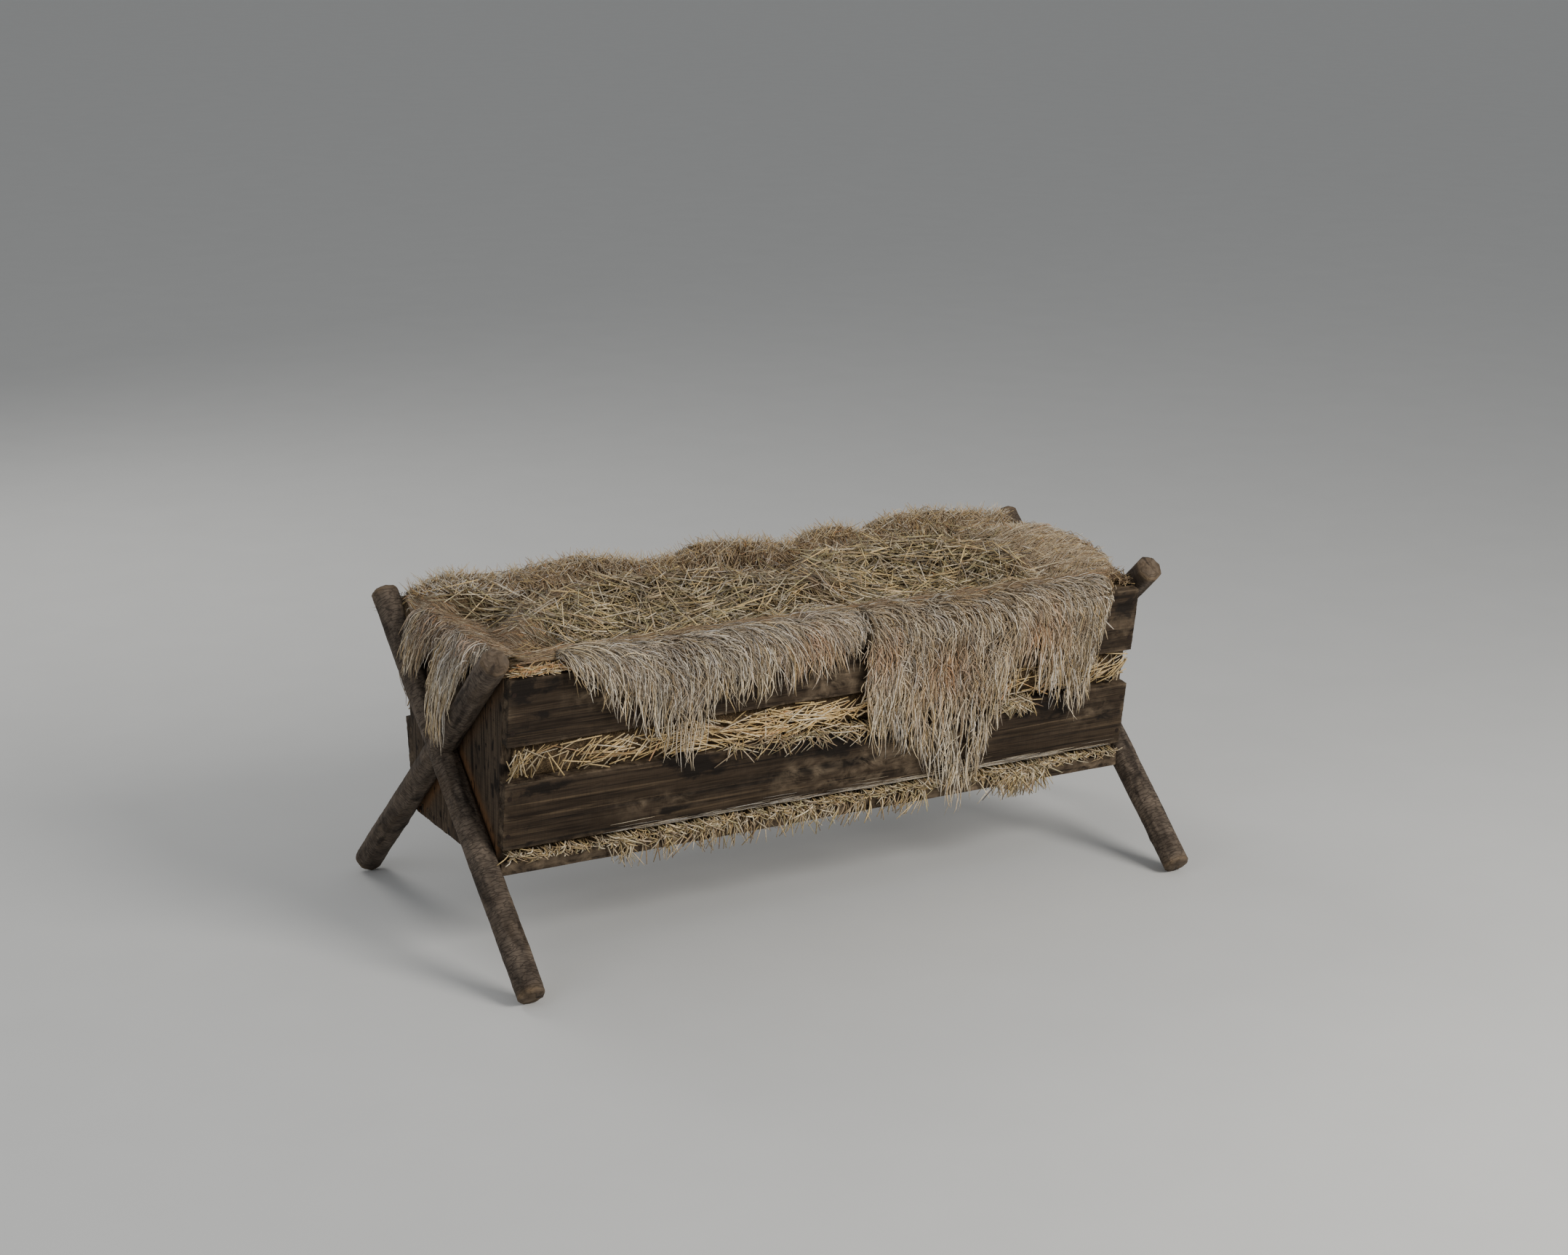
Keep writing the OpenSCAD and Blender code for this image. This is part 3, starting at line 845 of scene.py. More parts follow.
def straight(rng, middle, direction, length, bend, steps=4):
    """Nearly straight stalks through their middle points, each slightly bent."""
    t = np.linspace(-0.5, 0.5, steps)[None, :, None]
    sag = unit(np.cross(direction, rng.normal(size=direction.shape)))[:, None]
    run = (direction * length[:, None])[:, None]
    return middle[:, None] + run * t + (0.25 - t**2) * bend[:, None, None] * sag


def lying(rng, x, y, heading, turn, length, lift, steps=6):
    """Stalks that follow the heap's surface from (x, y), turning as they go; lift is (root, tip)."""
    step = length / (steps - 1)
    track = [np.stack([x, y], -1)]
    for i in range(steps - 1):
        angle = heading + turn * i / (steps - 1)
        track.append(track[-1] + np.stack([np.cos(angle), np.sin(angle)], -1) * step[:, None])
    track = np.stack(track, 1)
    t = np.linspace(0, 1, steps)
    edge = heap_half_width(track[..., 0], track[..., 1]) - 8 * MM
    track[..., 1] = np.clip(track[..., 1], -edge, edge)
    z = heap_height(track[..., 0], track[..., 1]) + lift[0][:, None] * (1 - t) + lift[1][:, None] * t**2
    return np.concatenate([track, z[..., None]], -1) + rng.normal(0, 0.4 * MM, (len(x), steps, 3))


DISH_STRAWS = 2600
# A share of the dish straws lies on top of the others: paler with painted highlight, and lifted by so many
# millimetres. The others are darkened with painted shade.
TOP_SHARE = 0.2
TOP_LIFT = (4, 9)
TOP_HIGHLIGHT_LEVEL = (1.05, 1.4)
UNDER_SHADE_LEVEL = (0.3, 0.96)


def dish_share(x, y):
    """How many of the stiff straws stay at a point: all inside the dishes, few beyond their combed rims."""
    share = np.where((x > 250 * MM) & (y > 40 * MM) | (x < -430 * MM) & (y > 30 * MM), 0.5, 0.07)
    for mx, my, half_l, half_w, _ in DISHES:
        reach = np.hypot((x / MM - mx) / half_l, (y / MM - my) / half_w)
        share = np.maximum(share, ease((1.02 - reach) / 0.08))
    return share


def make_dish_straw():
    """Stiff straws lying every way on the heap, neighbours partly lined up."""
    rng = np.random.default_rng(101)
    for part, sign in (("left", -1), ("right", 1)):
        x = sign * rng.uniform(0, 545 if sign < 0 else 490, DISH_STRAWS) * MM
        y = rng.uniform(-184, 165, DISH_STRAWS) * MM
        keep = rng.uniform(0, 1, DISH_STRAWS) < dish_share(x, y)
        x, y = x[keep], y[keep]
        count = len(x)
        turn = 2.2 * math.pi * noise(flat(x, y) / (70 * MM), 23) + rng.normal(0, 1.0, count)
        length = rng.uniform(42, 105, count) * MM
        ahead = np.stack([np.cos(turn), np.sin(turn)], -1) * length[:, None] / 2
        z0 = heap_height(x - ahead[:, 0], y - ahead[:, 1])
        z1 = heap_height(x + ahead[:, 0], y + ahead[:, 1])
        tilt = rng.normal(0, 18 * MM, count)
        direction = np.stack([2 * ahead[:, 0], 2 * ahead[:, 1], (z1 - z0) + tilt], -1)
        height = np.maximum(heap_height(x, y), (z0 + z1) / 2) + rng.uniform(-3, 3.5, count) * MM
        middle = np.stack([x, y, height], -1)
        paths = straight(rng, middle, unit(direction), length, rng.normal(0, 5 * MM, count))
        thick = rng.uniform(0.8, 1.35, count)
        tints = tints_of(rng, count, golden=4, green=4, pale=4, tan=3, grey=1)
        top = rng.uniform(0, 1, count) < TOP_SHARE
        paths[..., 2] += (top * rng.uniform(*TOP_LIFT, count) * MM)[:, None]
        # Painted light: straws on top are brightened as highlight, and those under them are darkened as
        # shade.
        top_highlight = rng.uniform(*TOP_HIGHLIGHT_LEVEL, count)
        tints *= np.where(top, top_highlight, rng.uniform(*UNDER_SHADE_LEVEL, count))[:, None]
        paths[..., 2] = np.minimum(paths[..., 2], CEILING)
        stalks(f"dish_straw_{part}", paths, thick, STIFF_TAPER, tints, (0.9, 1, 1, 1.05), STIFF)


def make_rolled_bands():
    """Fine hay combed along the front rim and the left end, where the heap rolls over."""
    rng = np.random.default_rng(202)
    count = 4400
    x = rng.uniform(-592, 515, count) * MM
    y = rng.uniform(-240, -186, count) * MM
    heading = rng.normal(-0.10, 0.10, count)
    lift = (rng.uniform(0, 3, count) * MM, rng.exponential(1.6 * MM, count) + 1 * MM)
    length = np.minimum(rng.uniform(45, 100, count) * MM, 560 * MM - x)
    paths = lying(rng, x, y, heading, rng.normal(-0.08, 0.1, count), length, lift)
    paths[..., 1] = np.maximum(paths[..., 1], -heap_half_width(paths[..., 0], paths[..., 1]) - 2 * MM)
    tints = 0.8 * tints_of(rng, count, tan=7, brown=5, golden=1.5, orange=1)
    thick = rng.uniform(0.4, 0.75, count)
    stalks("front_roll", paths, thick, FINE_TAPER, tints, ROLL_TONES, FINE)

    count = 3400
    y = rng.uniform(-205, 190, count) * MM
    inner = np.interp(y, np.array([-200, -60, 10, 170]) * MM, np.array([-450, -485, -530, -570]) * MM)
    x = rng.uniform(0, 1, count) * (inner + 604 * MM) - 604 * MM
    heading = rng.normal(-1.40, 0.12, count) + 1.1 * ease((-80 * MM - y) / (110 * MM))
    lift = (rng.uniform(0, 3, count) * MM, rng.exponential(1.8 * MM, count) + 1 * MM)
    paths = lying(rng, x, y, heading, rng.normal(0.15, 0.12, count), rng.uniform(45, 100, count) * MM, lift)
    paths[..., 1] = np.maximum(paths[..., 1], -BARE_LEFT[2])
    tints = 1.08 * tints_of(rng, count, tan=7, brown=3, pale=2, golden=1, orange=1.2)
    thick = rng.uniform(0.35, 0.7, count)
    stalks("left_roll", paths, thick, FINE_TAPER, tints, ROLL_TONES, FINE)


def make_crest_fibres():
    """Fine hay swept along the far rim of each dish and into the hollow behind it."""
    rng = np.random.default_rng(303)
    parts = []
    for mx, my, half_l, half_w, _ in DISHES:
        count = 2600
        turn = rng.uniform(0.02, 0.98, count) * math.pi
        reach = rng.normal(1.04, 0.075, count)
        x = (mx + half_l * reach * np.cos(turn)) * MM
        y = (my + half_w * reach * np.sin(turn)) * MM
        heading = np.arctan2(-half_w * np.cos(turn), half_l * np.sin(turn)) + rng.normal(0, 0.13, count)
        lift = (rng.uniform(0, 4, count) * MM, rng.exponential(2 * MM, count) + 1 * MM)
        bend = rng.normal(-0.25, 0.2, count)
        parts.append(lying(rng, x, y, heading, bend, rng.uniform(40, 85, count) * MM, lift))
    paths = np.concatenate(parts)
    count = len(paths)
    tints = tints_of(rng, count, tan=5, brown=6, grey=1.5, golden=0.5)
    thick = rng.uniform(0.4, 0.8, count)
    stalks("crest_fibres", paths, thick, FINE_TAPER, tints, (0.8, 0.85, 0.9, 0.95, 1, 1.05), FINE)


def make_back_fuzz():
    """Short hay brushed over the back rim, with loose tips standing up along its ridge."""
    rng = np.random.default_rng(404)
    for part, sign in (("left", -1), ("right", 1)):
        count = 3600
        x = sign * rng.uniform(0, 590, count) * MM
        y = np.clip(rng.normal(186, 30, count), 110, 240) * MM
        heading = math.pi / 2 + 1.6 * noise(flat(x, y) / (60 * MM), 31) + rng.normal(0, 0.5, count)
        lift = (rng.uniform(-3, 1, count) * MM, rng.uniform(0, 7, count) * MM)
        bend = rng.normal(0, 0.4, count)
        paths = lying(rng, x, y, heading, bend, rng.uniform(26, 62, count) * MM, lift, 5)
        tints = tints_of(rng, count, tan=6, brown=5, pale=2, golden=1.5, orange=0.4, white=0.4)
        thick = rng.uniform(0.45, 0.9, count)
        tones = (0.7, 0.85, 0.95, 1.05, 1.12)
        stalks(f"back_fuzz_{part}", paths, thick, (0.9, 1, 0.9, 0.7, 0.35), tints, tones, FINE)
    mixed = dict(golden=4, pale=5, tan=3, white=1, orange=0.5)
    bristles(rng, "back_bristles", 2600, (-592, 592), (165, 215), 25, mixed)
    bristles(rng, "left_bristles", 300, (-575, -420), (140, 205), 18, dict(white=3, pale=1))
    bristles(rng, "right_bristles", 600, (470, 604), (-170, 165), 16, mixed)
    bristles(rng, "dish_bristles", 500, (-560, 480), (-170, 150), 10, mixed)


def bristles(rng, name, count, x_span, y_span, rise, shares):
    """Loose straws whose tips stand clear of the heap."""
    x = rng.uniform(*x_span, count) * MM
    y = rng.uniform(*y_span, count) * MM
    turn = rng.uniform(0, 2 * math.pi, count)
    up = np.minimum(rng.uniform(0.2, 1, count) * rise * MM, 1 * MM + CEILING - heap_height(x, y))
    reach = rng.uniform(10, 30, count) * MM
    t = np.linspace(0, 1, 5)
    run = reach[:, None] * t
    z = heap_height(x, y)[:, None] - 1 * MM + up[:, None] * t ** rng.uniform(0.7, 1.3, (count, 1))
    east = x[:, None] + np.cos(turn)[:, None] * run
    north = y[:, None] + np.sin(turn)[:, None] * run
    paths = np.stack([east, north, z], -1)
    tints = tints_of(rng, count, **shares)
    thick = rng.uniform(0.45, 0.85, count)
    stalks(name, paths, thick, (1, 1, 0.9, 0.75, 0.4), tints, (0.7, 0.9, 1, 1.05, 1.1), FINE)


def make_right_sweep():
    """Fine hay swept out over the right end, its tips standing clear."""
    rng = np.random.default_rng(505)
    tufts, fibres = 150, 20
    count = tufts * fibres
    tuft = sharing(rng, tufts, fibres)
    x = tuft("uniform", 410, 570) * MM + rng.normal(0, 9 * MM, count)
    y = tuft("uniform", -185, 165) * MM + rng.normal(0, 6 * MM, count)
    heading = tuft("normal", 0.35, 0.28) + rng.normal(0, 0.08, count)
    turn = tuft("normal", -0.5, 0.3)
    length = tuft("uniform", 55, 95) * rng.uniform(0.75, 1.1, count) * MM
    length = np.minimum(length, (615 * MM + 0.1 * y) - x)
    tip = tuft("uniform", 2, 12) * rng.uniform(0.5, 1.3, count) * MM
    paths = lying(rng, x, y, heading, turn, length, (rng.uniform(-1, 4, count) * MM, tip), 7)
    past = np.maximum(paths[..., 0] - (HALF_LEN - 30 * MM), 0)
    level = heap_height(HALF_LEN - 30 * MM, paths[..., 1])
    paths[..., 2] = np.where(past > 0, np.maximum(paths[..., 2], level - past * 0.3), paths[..., 2])
    tints = tints_of(rng, count, tan=6, pale=3, white=0.5, golden=1, brown=2)
    thick = rng.uniform(0.4, 0.8, count)
    tones = (0.7, 0.8, 0.9, 0.95, 1, 1.05, 1.1)
    stalks("right_sweep", paths, thick, (0.7, 1, 1, 0.9, 0.8, 0.6, 0.3), tints, tones, FINE)


# ---------- hay: coats that hang over the rims ----------


def hem_of(node):
    """How far over the rim a drape's CAD solid hangs at each x along it."""
    points = np.array([v.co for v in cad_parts[node].data.vertices])
    s = side_s(-np.abs(points[:, 1]), points[:, 2])
    keys = np.unique(np.round(points[:, 0], 4))
    low = np.array([s[np.abs(points[:, 0] - k) < 0.1 * MM].min() for k in keys])
    rim = FRONT_RIM if points[:, 1].mean() < 0 else BACK_RIM
    over = np.interp(np.minimum(low, TOP_S - 18 * MM) - TOP_S, rim.line[::-1, 1], rim.travel[::-1])
    return lambda x: np.interp(x, keys, over)


def deeper(hem, centre, half, depth):
    """The same hem let down around one place."""
    return lambda x: hem(x) + depth * MM * hill(x, centre * MM, half * MM)


def flow_down(over):
    """The angle down from the rim's direction that hay takes as it goes over a rim."""
    return np.interp(over, np.array([-10, 12, 40, 80, 130]) * MM, np.radians([8, 24, 52, 74, 87]))


def flow_off_end(over):
    """The angle down from the end rim's direction that hay takes as it goes over an end."""
    return np.interp(over, np.array([0, 50, 110]) * MM, np.radians([122, 108, 92]))


def drift(flow, over):
    """How far along the rim hay has moved by the time it is a given way over it."""
    table = np.linspace(-20, 400, 421) * MM
    moved = np.cumsum(1 / np.tan(flow(table))) * MM
    return np.interp(over, table, moved)


def tuft_paths(rng, u, v, tufts, length, flow, spread, curl, limit, edge):
    """Fibre paths over a rim as (along, over) pairs; a tuft's fibres part and close again at their tips."""
    count = len(u)
    steps = 7
    fibres = count // tufts
    turn = rng.normal(0, spread, tufts) * rng.choice([1, 2], tufts, p=[0.85, 0.15])
    turn = np.repeat(np.clip(turn, -MOST_TURN, MOST_TURN), fibres)
    own = rng.normal(0, curl, count)
    step = (length / (steps - 1))[:, None]
    track = [np.stack([u, v], -1)]
    for i in range(steps - 1):
        angle = flow(track[-1][:, 1]) + turn * (1 - i / steps) + own * (1 - 2.2 * i / steps)
        track.append(track[-1] + np.stack([np.cos(angle), np.sin(angle)], -1) * step)
    track = np.stack(track, 1)
    run = track - track[:, :1]
    allowed = np.clip((limit(track[:, -1, 0]) - v) / np.maximum(run[:, -1, 1], 1e-6), 0.3, 1)
    run *= allowed[:, None, None]
    room = np.clip(edge - u, 0, None) / np.maximum(run[:, -1, 0], 1e-6)
    run[..., 0] *= np.where(run[:, -1, 0] > 0, np.minimum(room, 1), 1)[:, None]
    return track[:, :1] + run


# The most that a tuft may turn away from its neighbours, in radians.
MOST_TURN = 0.9
# The white shares in these tables are painted sheen.
COAT_SHADES = dict(tan=5, pale=5, white=2.5, golden=2, grey=3, brown=1.5)
COOL_SHADES = dict(tan=4, pale=4, white=4, golden=1, grey=4, brown=2)
WISP_SHADES = dict(pale=6, golden=3, tan=3, white=3, grey=1)
# Painted light: the near lock is paler and whiter as if lit, and the far lock behind it is greyer and
# browner as painted shade.
NEAR_LOCK_LIT_SHADES = dict(pale=4, white=6, grey=3, tan=2)
FAR_LOCK_SHADOWED_SHADES = dict(grey=4, tan=4, brown=3, white=1)
RIGHT_END_SHADES = dict(pale=4, tan=4, golden=2, grey=2, brown=2)
# Rust-coloured places in a coat: (along, over, half length, half width) in millimetres.
WARM_SPOTS = ((205, 135, 62, 46), (385, 85, 46, 46), (-80, 50, 46, 26), (70, 80, 30, 40))
END_WARM_SPOTS = ((-60, 12, 40, 16), (70, 10, 50, 14))
# Where the front hem hangs deeper than its CAD solid: (x, half width, depth) in millimetres.
NOTCH = (368, 26, 26)
LOBE = (250, 36, 26)
# How far hay hangs over the ends: (y, fall) in millimetres.
LEFT_NEAR_FALL = ((-122, 80), (-105, 150), (-88, 205), (-55, 215), (-25, 200), (-14, 130), (2, 70))
LEFT_FAR_FALL = ((4, 70), (14, 76), (28, 126), (85, 130), (125, 95), (142, 60))
RIGHT_FALL = ((-120, 45), (-60, 70), (0, 95), (60, 75), (120, 45))


def coat_tints(rng, u, v, tufts, shares, spots):
    """Tints that vary by tuft and by fibre, darker near the ridge and warmer at the given spots."""
    fibres = len(u) // tufts
    shared = np.repeat(tints_of(rng, tufts, **shares), fibres, axis=0)
    tints = 0.35 * shared + 0.65 * tints_of(rng, len(u), **shares)
    warm = np.zeros(len(u))
    for spot_u, spot_v, long_half, half_wide in spots:
        warm += hill(u, spot_u * MM, long_half * MM) * hill(v, spot_v * MM, half_wide * MM)
    warm = 0.75 * np.minimum(warm, 1)[:, None] * rng.uniform(0, 1, (len(u), 1))
    level = (0.72 + 0.31 * ease((v - 4 * MM) / (44 * MM))) * rng.uniform(0.5, 1.38, len(u))
    return (tints * (1 - warm) + warm * SHADES["orange"]) * level[:, None]


def thatch(rng, span, hem, tufts, flow, shares, spots):
    """Short fibres laid over a rim and down its upper part: tracks, depths, thicknesses and tints."""
    fibres = 3
    count = tufts * fibres
    tuft = sharing(rng, tufts, fibres)
    u = tuft("uniform", *span)
    v = 7 * MM + tuft("uniform", 0, 1) * np.maximum(0.56 * hem(u) - 26 * MM, 12 * MM)
    u = u + rng.normal(0, 5 * MM, count)
    v = v + rng.normal(0, 5 * MM, count)
    length = tuft("uniform", 30, 76) * rng.uniform(0.7, 1.15, count) * MM
    tracks = tuft_paths(
        rng, u, v, tufts, length, flow, 0.5, 0.5,
        lambda x: 0.68 * hem(x) - rng.exponential(12 * MM, len(x)), span[1],
    )
    depth = tuft("uniform", -2, 3.5)
    flare = tuft("exponential", 2.6) * rng.uniform(0.3, 1.4, count)
    thick = rng.uniform(0.48, 0.98, count)
    return tracks, depth, flare, thick, coat_tints(rng, u, v, tufts, shares, spots)


def fringe(rng, span, hem, wisps, flow, spots):
    """Separate longer wisps that hang past the thatch, fewer of them as far as the hem."""
    strands = 2
    count = wisps * strands
    tuft = sharing(rng, wisps, strands)
    drop = 0.4 * tuft("uniform", 0, 1) ** 1.1 - 0.04
    own_drop = drop + rng.exponential(0.05, count)
    length = tuft("uniform", 70, 130) * rng.uniform(0.85, 1.1, count) * MM
    end = tuft("uniform", *span) + rng.normal(0, 9 * MM, count)
    end_v = hem(end) * (1 - drop)
    v = np.maximum(end_v - 0.92 * length, 5 * MM)
    u = np.clip(end - drift(flow, end_v) + drift(flow, v), *span)
    tracks = tuft_paths(
        rng, u, v, wisps, length, flow, 0.26, 0.34, lambda x: hem(x) * (1 - own_drop), span[1]
    )
    bend = rng.normal(0, 3 * MM, count)[:, None] * np.array([0, 0, 0.1, 0.3, 0.7, 1.2, 2.0])
    tracks[..., 0] += bend
    depth = tuft("uniform", 0, 4)
    flare = tuft("exponential", 2.5) * rng.uniform(0.5, 1.3, count)
    tints = 1.08 * coat_tints(rng, u, v, wisps, WISP_SHADES, spots)
    return tracks, depth, flare, rng.uniform(0.6, 1.15, count), tints


def coat(name, seed, span, hem, place, tufts, wisps, *nodes, flow=flow_down, shares=COAT_SHADES, spots=()):
    """Hay hanging over a rim: thatch above, a thin fringe of wisps below."""
    rng = np.random.default_rng(seed)
    layers = zip(
        thatch(rng, span, hem, tufts, flow, shares, spots), fringe(rng, span, hem, wisps, flow, spots)
    )
    tracks, depth, flare, thick, tints = (np.concatenate(pair) for pair in layers)
    t = np.linspace(0, 1, tracks.shape[1])
    lift = (depth[:, None] + flare[:, None] * np.sin(t * 2.4)) * MM
    lift += rng.normal(0, 0.7 * MM, tracks.shape[:2])
    paths = place(tracks[..., 0], tracks[..., 1], lift)
    tones = (0.6, 0.78, 0.94, 1.03, 1.09, 1.1, 1.06)
    stalks(name, paths, thick, (0.7, 1, 1, 1, 0.9, 0.7, 0.25), tints, tones, FINE, *nodes)


def mat(name, span, hem, place):
    """The thin matted layer under a coat, ending well short of the coat's hem."""
    along = np.linspace(span[0] + 6 * MM, span[1] - 6 * MM, round((span[1] - span[0]) / (6 * MM)))
    points, quads = box_shell(along, np.linspace(0, 1, 26), np.array([0.0, 1.0]))
    u, part, outer = points.T
    limit = 0.56 * hem(u) - 8 * MM + 13 * MM * noise(flat(u / (11 * MM)), 5)
    v = -14 * MM + part * np.maximum(limit + 14 * MM, 20 * MM)
    lumps = 1.6 * MM * layered_noise(flat(u / (16 * MM), v / (30 * MM)), 6, 2)
    placed = place(u, v, np.where(outer > 0.5, -3 * MM + lumps, -7 * MM))
    piece(quad_mesh(name, placed, quads), MATTED)


def end_hem(outline):
    """How far over an end rim its hay hangs, from (y, fall) pairs in millimetres."""
    ys, falls = np.array(outline).T * MM
    return (ys[0], ys[-1]), lambda y: np.interp(y, ys, falls)


def make_coats():
    for word, node, seed, tufts, wisps, shares in (
        ("front_left", "front_drape_left", 601, 1160, 390, COOL_SHADES),
        ("front_right", "front_drape_right", 602, 1260, 480, COAT_SHADES),
    ):
        lo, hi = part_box(node)
        span = (lo.x - 6 * MM, hi.x - 4 * MM)
        hem = deeper(deeper(hem_of(node), *NOTCH), *LOBE)
        coat(
            f"{word}_coat", seed, span, hem, over_front, tufts, wisps, node,
            shares=shares, spots=WARM_SPOTS,
        )
        mat(f"{word}_mat", span, hem, over_front)
    lo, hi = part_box("back_drape")
    hem = hem_of("back_drape")
    span = (lo.x + 2 * MM, hi.x - 2 * MM)
    for name, seed, half_span, nodes in (
        ("back_left_coat", 603, (span[0], 0), ("back_drape",)),
        ("back_right_coat", 604, (0, span[1]), ()),
    ):
        coat(name, seed, half_span, hem, over_back, 1100, 280, *nodes)
    mat("back_mat", span, hem, over_back)
    for name, node, place, outline, seed, tufts, wisps, shares in (
        ("left_lock_near", "left_end_hay", over_left, LEFT_NEAR_FALL, 605, 330, 120, NEAR_LOCK_LIT_SHADES),
        ("left_lock_far", "left_end_hay", over_left, LEFT_FAR_FALL, 607, 300, 80, FAR_LOCK_SHADOWED_SHADES),
        ("right_end_coat", "right_end_hay", over_right, RIGHT_FALL, 606, 400, 100, RIGHT_END_SHADES),
    ):
        span, hem = end_hem(outline)
        coat(
            name, seed, span, hem, place, tufts, wisps, node,
            flow=flow_off_end, shares=shares, spots=END_WARM_SPOTS,
        )


RIM_STRAW_REACH = 606 * MM
RIM_SHADES = dict(golden=2, tan=4, brown=4)


def make_rim_straw():
    """Short straws on the rim where no hay hangs: golden at the left front corner, browner at the right."""
    rng = np.random.default_rng(707)
    for name, count, x_span, y_span, turned, shares in (
        ("corner_straw", 560, (-590, -452), (-234, -204), 0.2, dict(golden=5, orange=3, pale=2)),
        ("right_rim_straw", 420, (574, 600), (-206, -70), 1.5, RIM_SHADES),
        ("right_back_rim_straw", 300, (574, 600), (70, 206), 1.5, RIM_SHADES),
    ):
        x = rng.uniform(*x_span, count) * MM
        y = rng.uniform(*y_span, count) * MM
        z = RIM_Z + rng.uniform(0.5, 11, count) * MM
        turn = rng.normal(turned, 0.7, count)
        direction = unit(np.stack([np.cos(turn), np.sin(turn) * 0.5, rng.normal(0, 0.22, count)], -1))
        middle = np.stack([x, y, z], -1)
        length = rng.uniform(18, 44, count) * MM
        paths = straight(rng, middle, direction, length, rng.normal(0, 2 * MM, count))
        paths[..., 0] = np.clip(paths[..., 0], -RIM_STRAW_REACH, RIM_STRAW_REACH)
        paths[..., 2] = np.maximum(paths[..., 2], RIM_Z + 0.8 * MM)
        tints = tints_of(rng, count, **shares)
        thick = rng.uniform(0.6, 1.0, count)
        stalks(name, paths, thick, STIFF_TAPER, tints, STIFF_TONES, STIFF)


# ---------- hay: slots and gaps ----------

SLOT_S = (LOWER_S + PLANK_W, UPPER_S)
SLOT_STRAWS = 1500
NEAR_END_SHARE = 0.045
# Where straws droop or hang out: (from x, to x) in millimetres.
FRONT_DROOPS = ((-205, 75), (318, 388))
BACK_DROOPS = ((-420, -250), (80, 260))
GAP_FRINGE = ((-409, 198), (298, 431))
# The middle of the gap between the floor and the lower plank, up the side from the floor's underside.
GAP_MIDDLE_S = 33.5 * MM
# Straws that fit between two planks lie in the slot, the others behind the planks, inside the ends.
IN_SLOT_OUT = (-11, 0)
BEHIND_PLANKS_OUT = (-30, -23.5)
SLOT_REACH = 595 * MM
BEHIND_REACH = 576 * MM


def make_slot_straw():
    """Straws that show in the slots between the planks."""
    rng = np.random.default_rng(808)
    for part in ("front", "back"):
        count = SLOT_STRAWS
        x = rng.uniform(-592, 592, count) * MM
        near_end = rng.uniform(0, 1, count) < NEAR_END_SHARE
        x = np.where(near_end, rng.choice([-1, 1], count) * rng.uniform(560, 592, count) * MM, x)
        s = rng.uniform(SLOT_S[0] - 2 * MM, SLOT_S[1] + 2 * MM, count)
        turn = 0.7 + 1.2 * noise(flat(x, s) / (60 * MM), 51) + rng.normal(0, 0.4, count)
        turn = np.where(rng.uniform(0, 1, count) < 0.2, rng.uniform(-0.5, 2.2, count), turn)
        direction = np.stack([np.cos(turn), rng.normal(0, 0.10, count), np.sin(turn)], -1)
        length = rng.uniform(34, 92, count) * np.where(near_end, 0.5, 1) * MM
        margin = np.minimum(SLOT_S[1] - 3 * MM - s, s - SLOT_S[0] - 3 * MM)
        inside = margin > length / 2 * np.abs(np.sin(turn))
        out_in_slot = rng.uniform(*IN_SLOT_OUT, count)
        out = np.where(inside, out_in_slot, rng.uniform(*BEHIND_PLANKS_OUT, count)) * MM
        direction[:, 1] = np.where(inside, direction[:, 1], direction[:, 1] * 0.2)
        room = np.where(inside, SLOT_REACH, BEHIND_REACH) - length / 2 * np.abs(np.cos(turn))
        x = np.clip(x, -room, room)
        bend = rng.normal(0, 3 * MM, count)
        paths = straight(rng, on_side(x, out, s), unit(direction), length, bend)
        if part == "back":
            paths[..., 1] *= -1
        thick = rng.uniform(0.95, 1.5, count)
        tints = tints_of(rng, count, golden=10, pale=3, tan=1, orange=0.6)
        tints *= rng.uniform(0.6, 1.6, (count, 1))
        # A painted pool of light brightens the slot straws about the middle, and painted shade darkens them
        # at the left end beside the post.
        lit_middle, shaded_end = hill(x, 20 * MM, 260 * MM), hill(x, -590 * MM, 60 * MM)
        tints *= (0.9 + 0.8 * lit_middle - 0.3 * shaded_end)[:, None]
        stalks(f"{part}_slot_straw", paths, thick, STIFF_TAPER, tints, STIFF_TONES, STIFF)


def spilling(rng, x, top_s, rise, fall, splay, steps=6):
    """Short straws that come out over an edge at top_s, from a given rise above it, and fall past it."""
    count = len(x)
    start_s = top_s + rng.uniform(3, rise, count) * MM
    end_s = top_s - fall
    start_out = -rng.uniform(7, 17, count) * MM
    end_out = rng.uniform(2, 10, count) * MM
    t = np.linspace(0, 1, steps)
    out = start_out[:, None] + (end_out - start_out)[:, None] * np.minimum(t * 2.0, 1) ** 0.8
    s = start_s[:, None] + (end_s - start_s)[:, None] * t**1.1
    s = np.where(out < 1.2 * MM, np.maximum(s, top_s + 1.2 * MM), s)
    return on_side(x[:, None] + splay[:, None] * (t - 0.3), out, s)


def scattered(rng, tufts, fibres, spans, seed):
    """Tuft positions along the spans, crowded in some places and thin in others."""
    x = np.concatenate([rng.uniform(a, b, 3 * tufts) for a, b in spans])
    crowd = noise(flat(x / 22), seed)
    x = rng.permutation(x[crowd > rng.uniform(-1, 0.5, len(x))])[:tufts]
    return np.repeat(x, fibres) * MM + rng.normal(0, 9 * MM, len(x) * fibres)


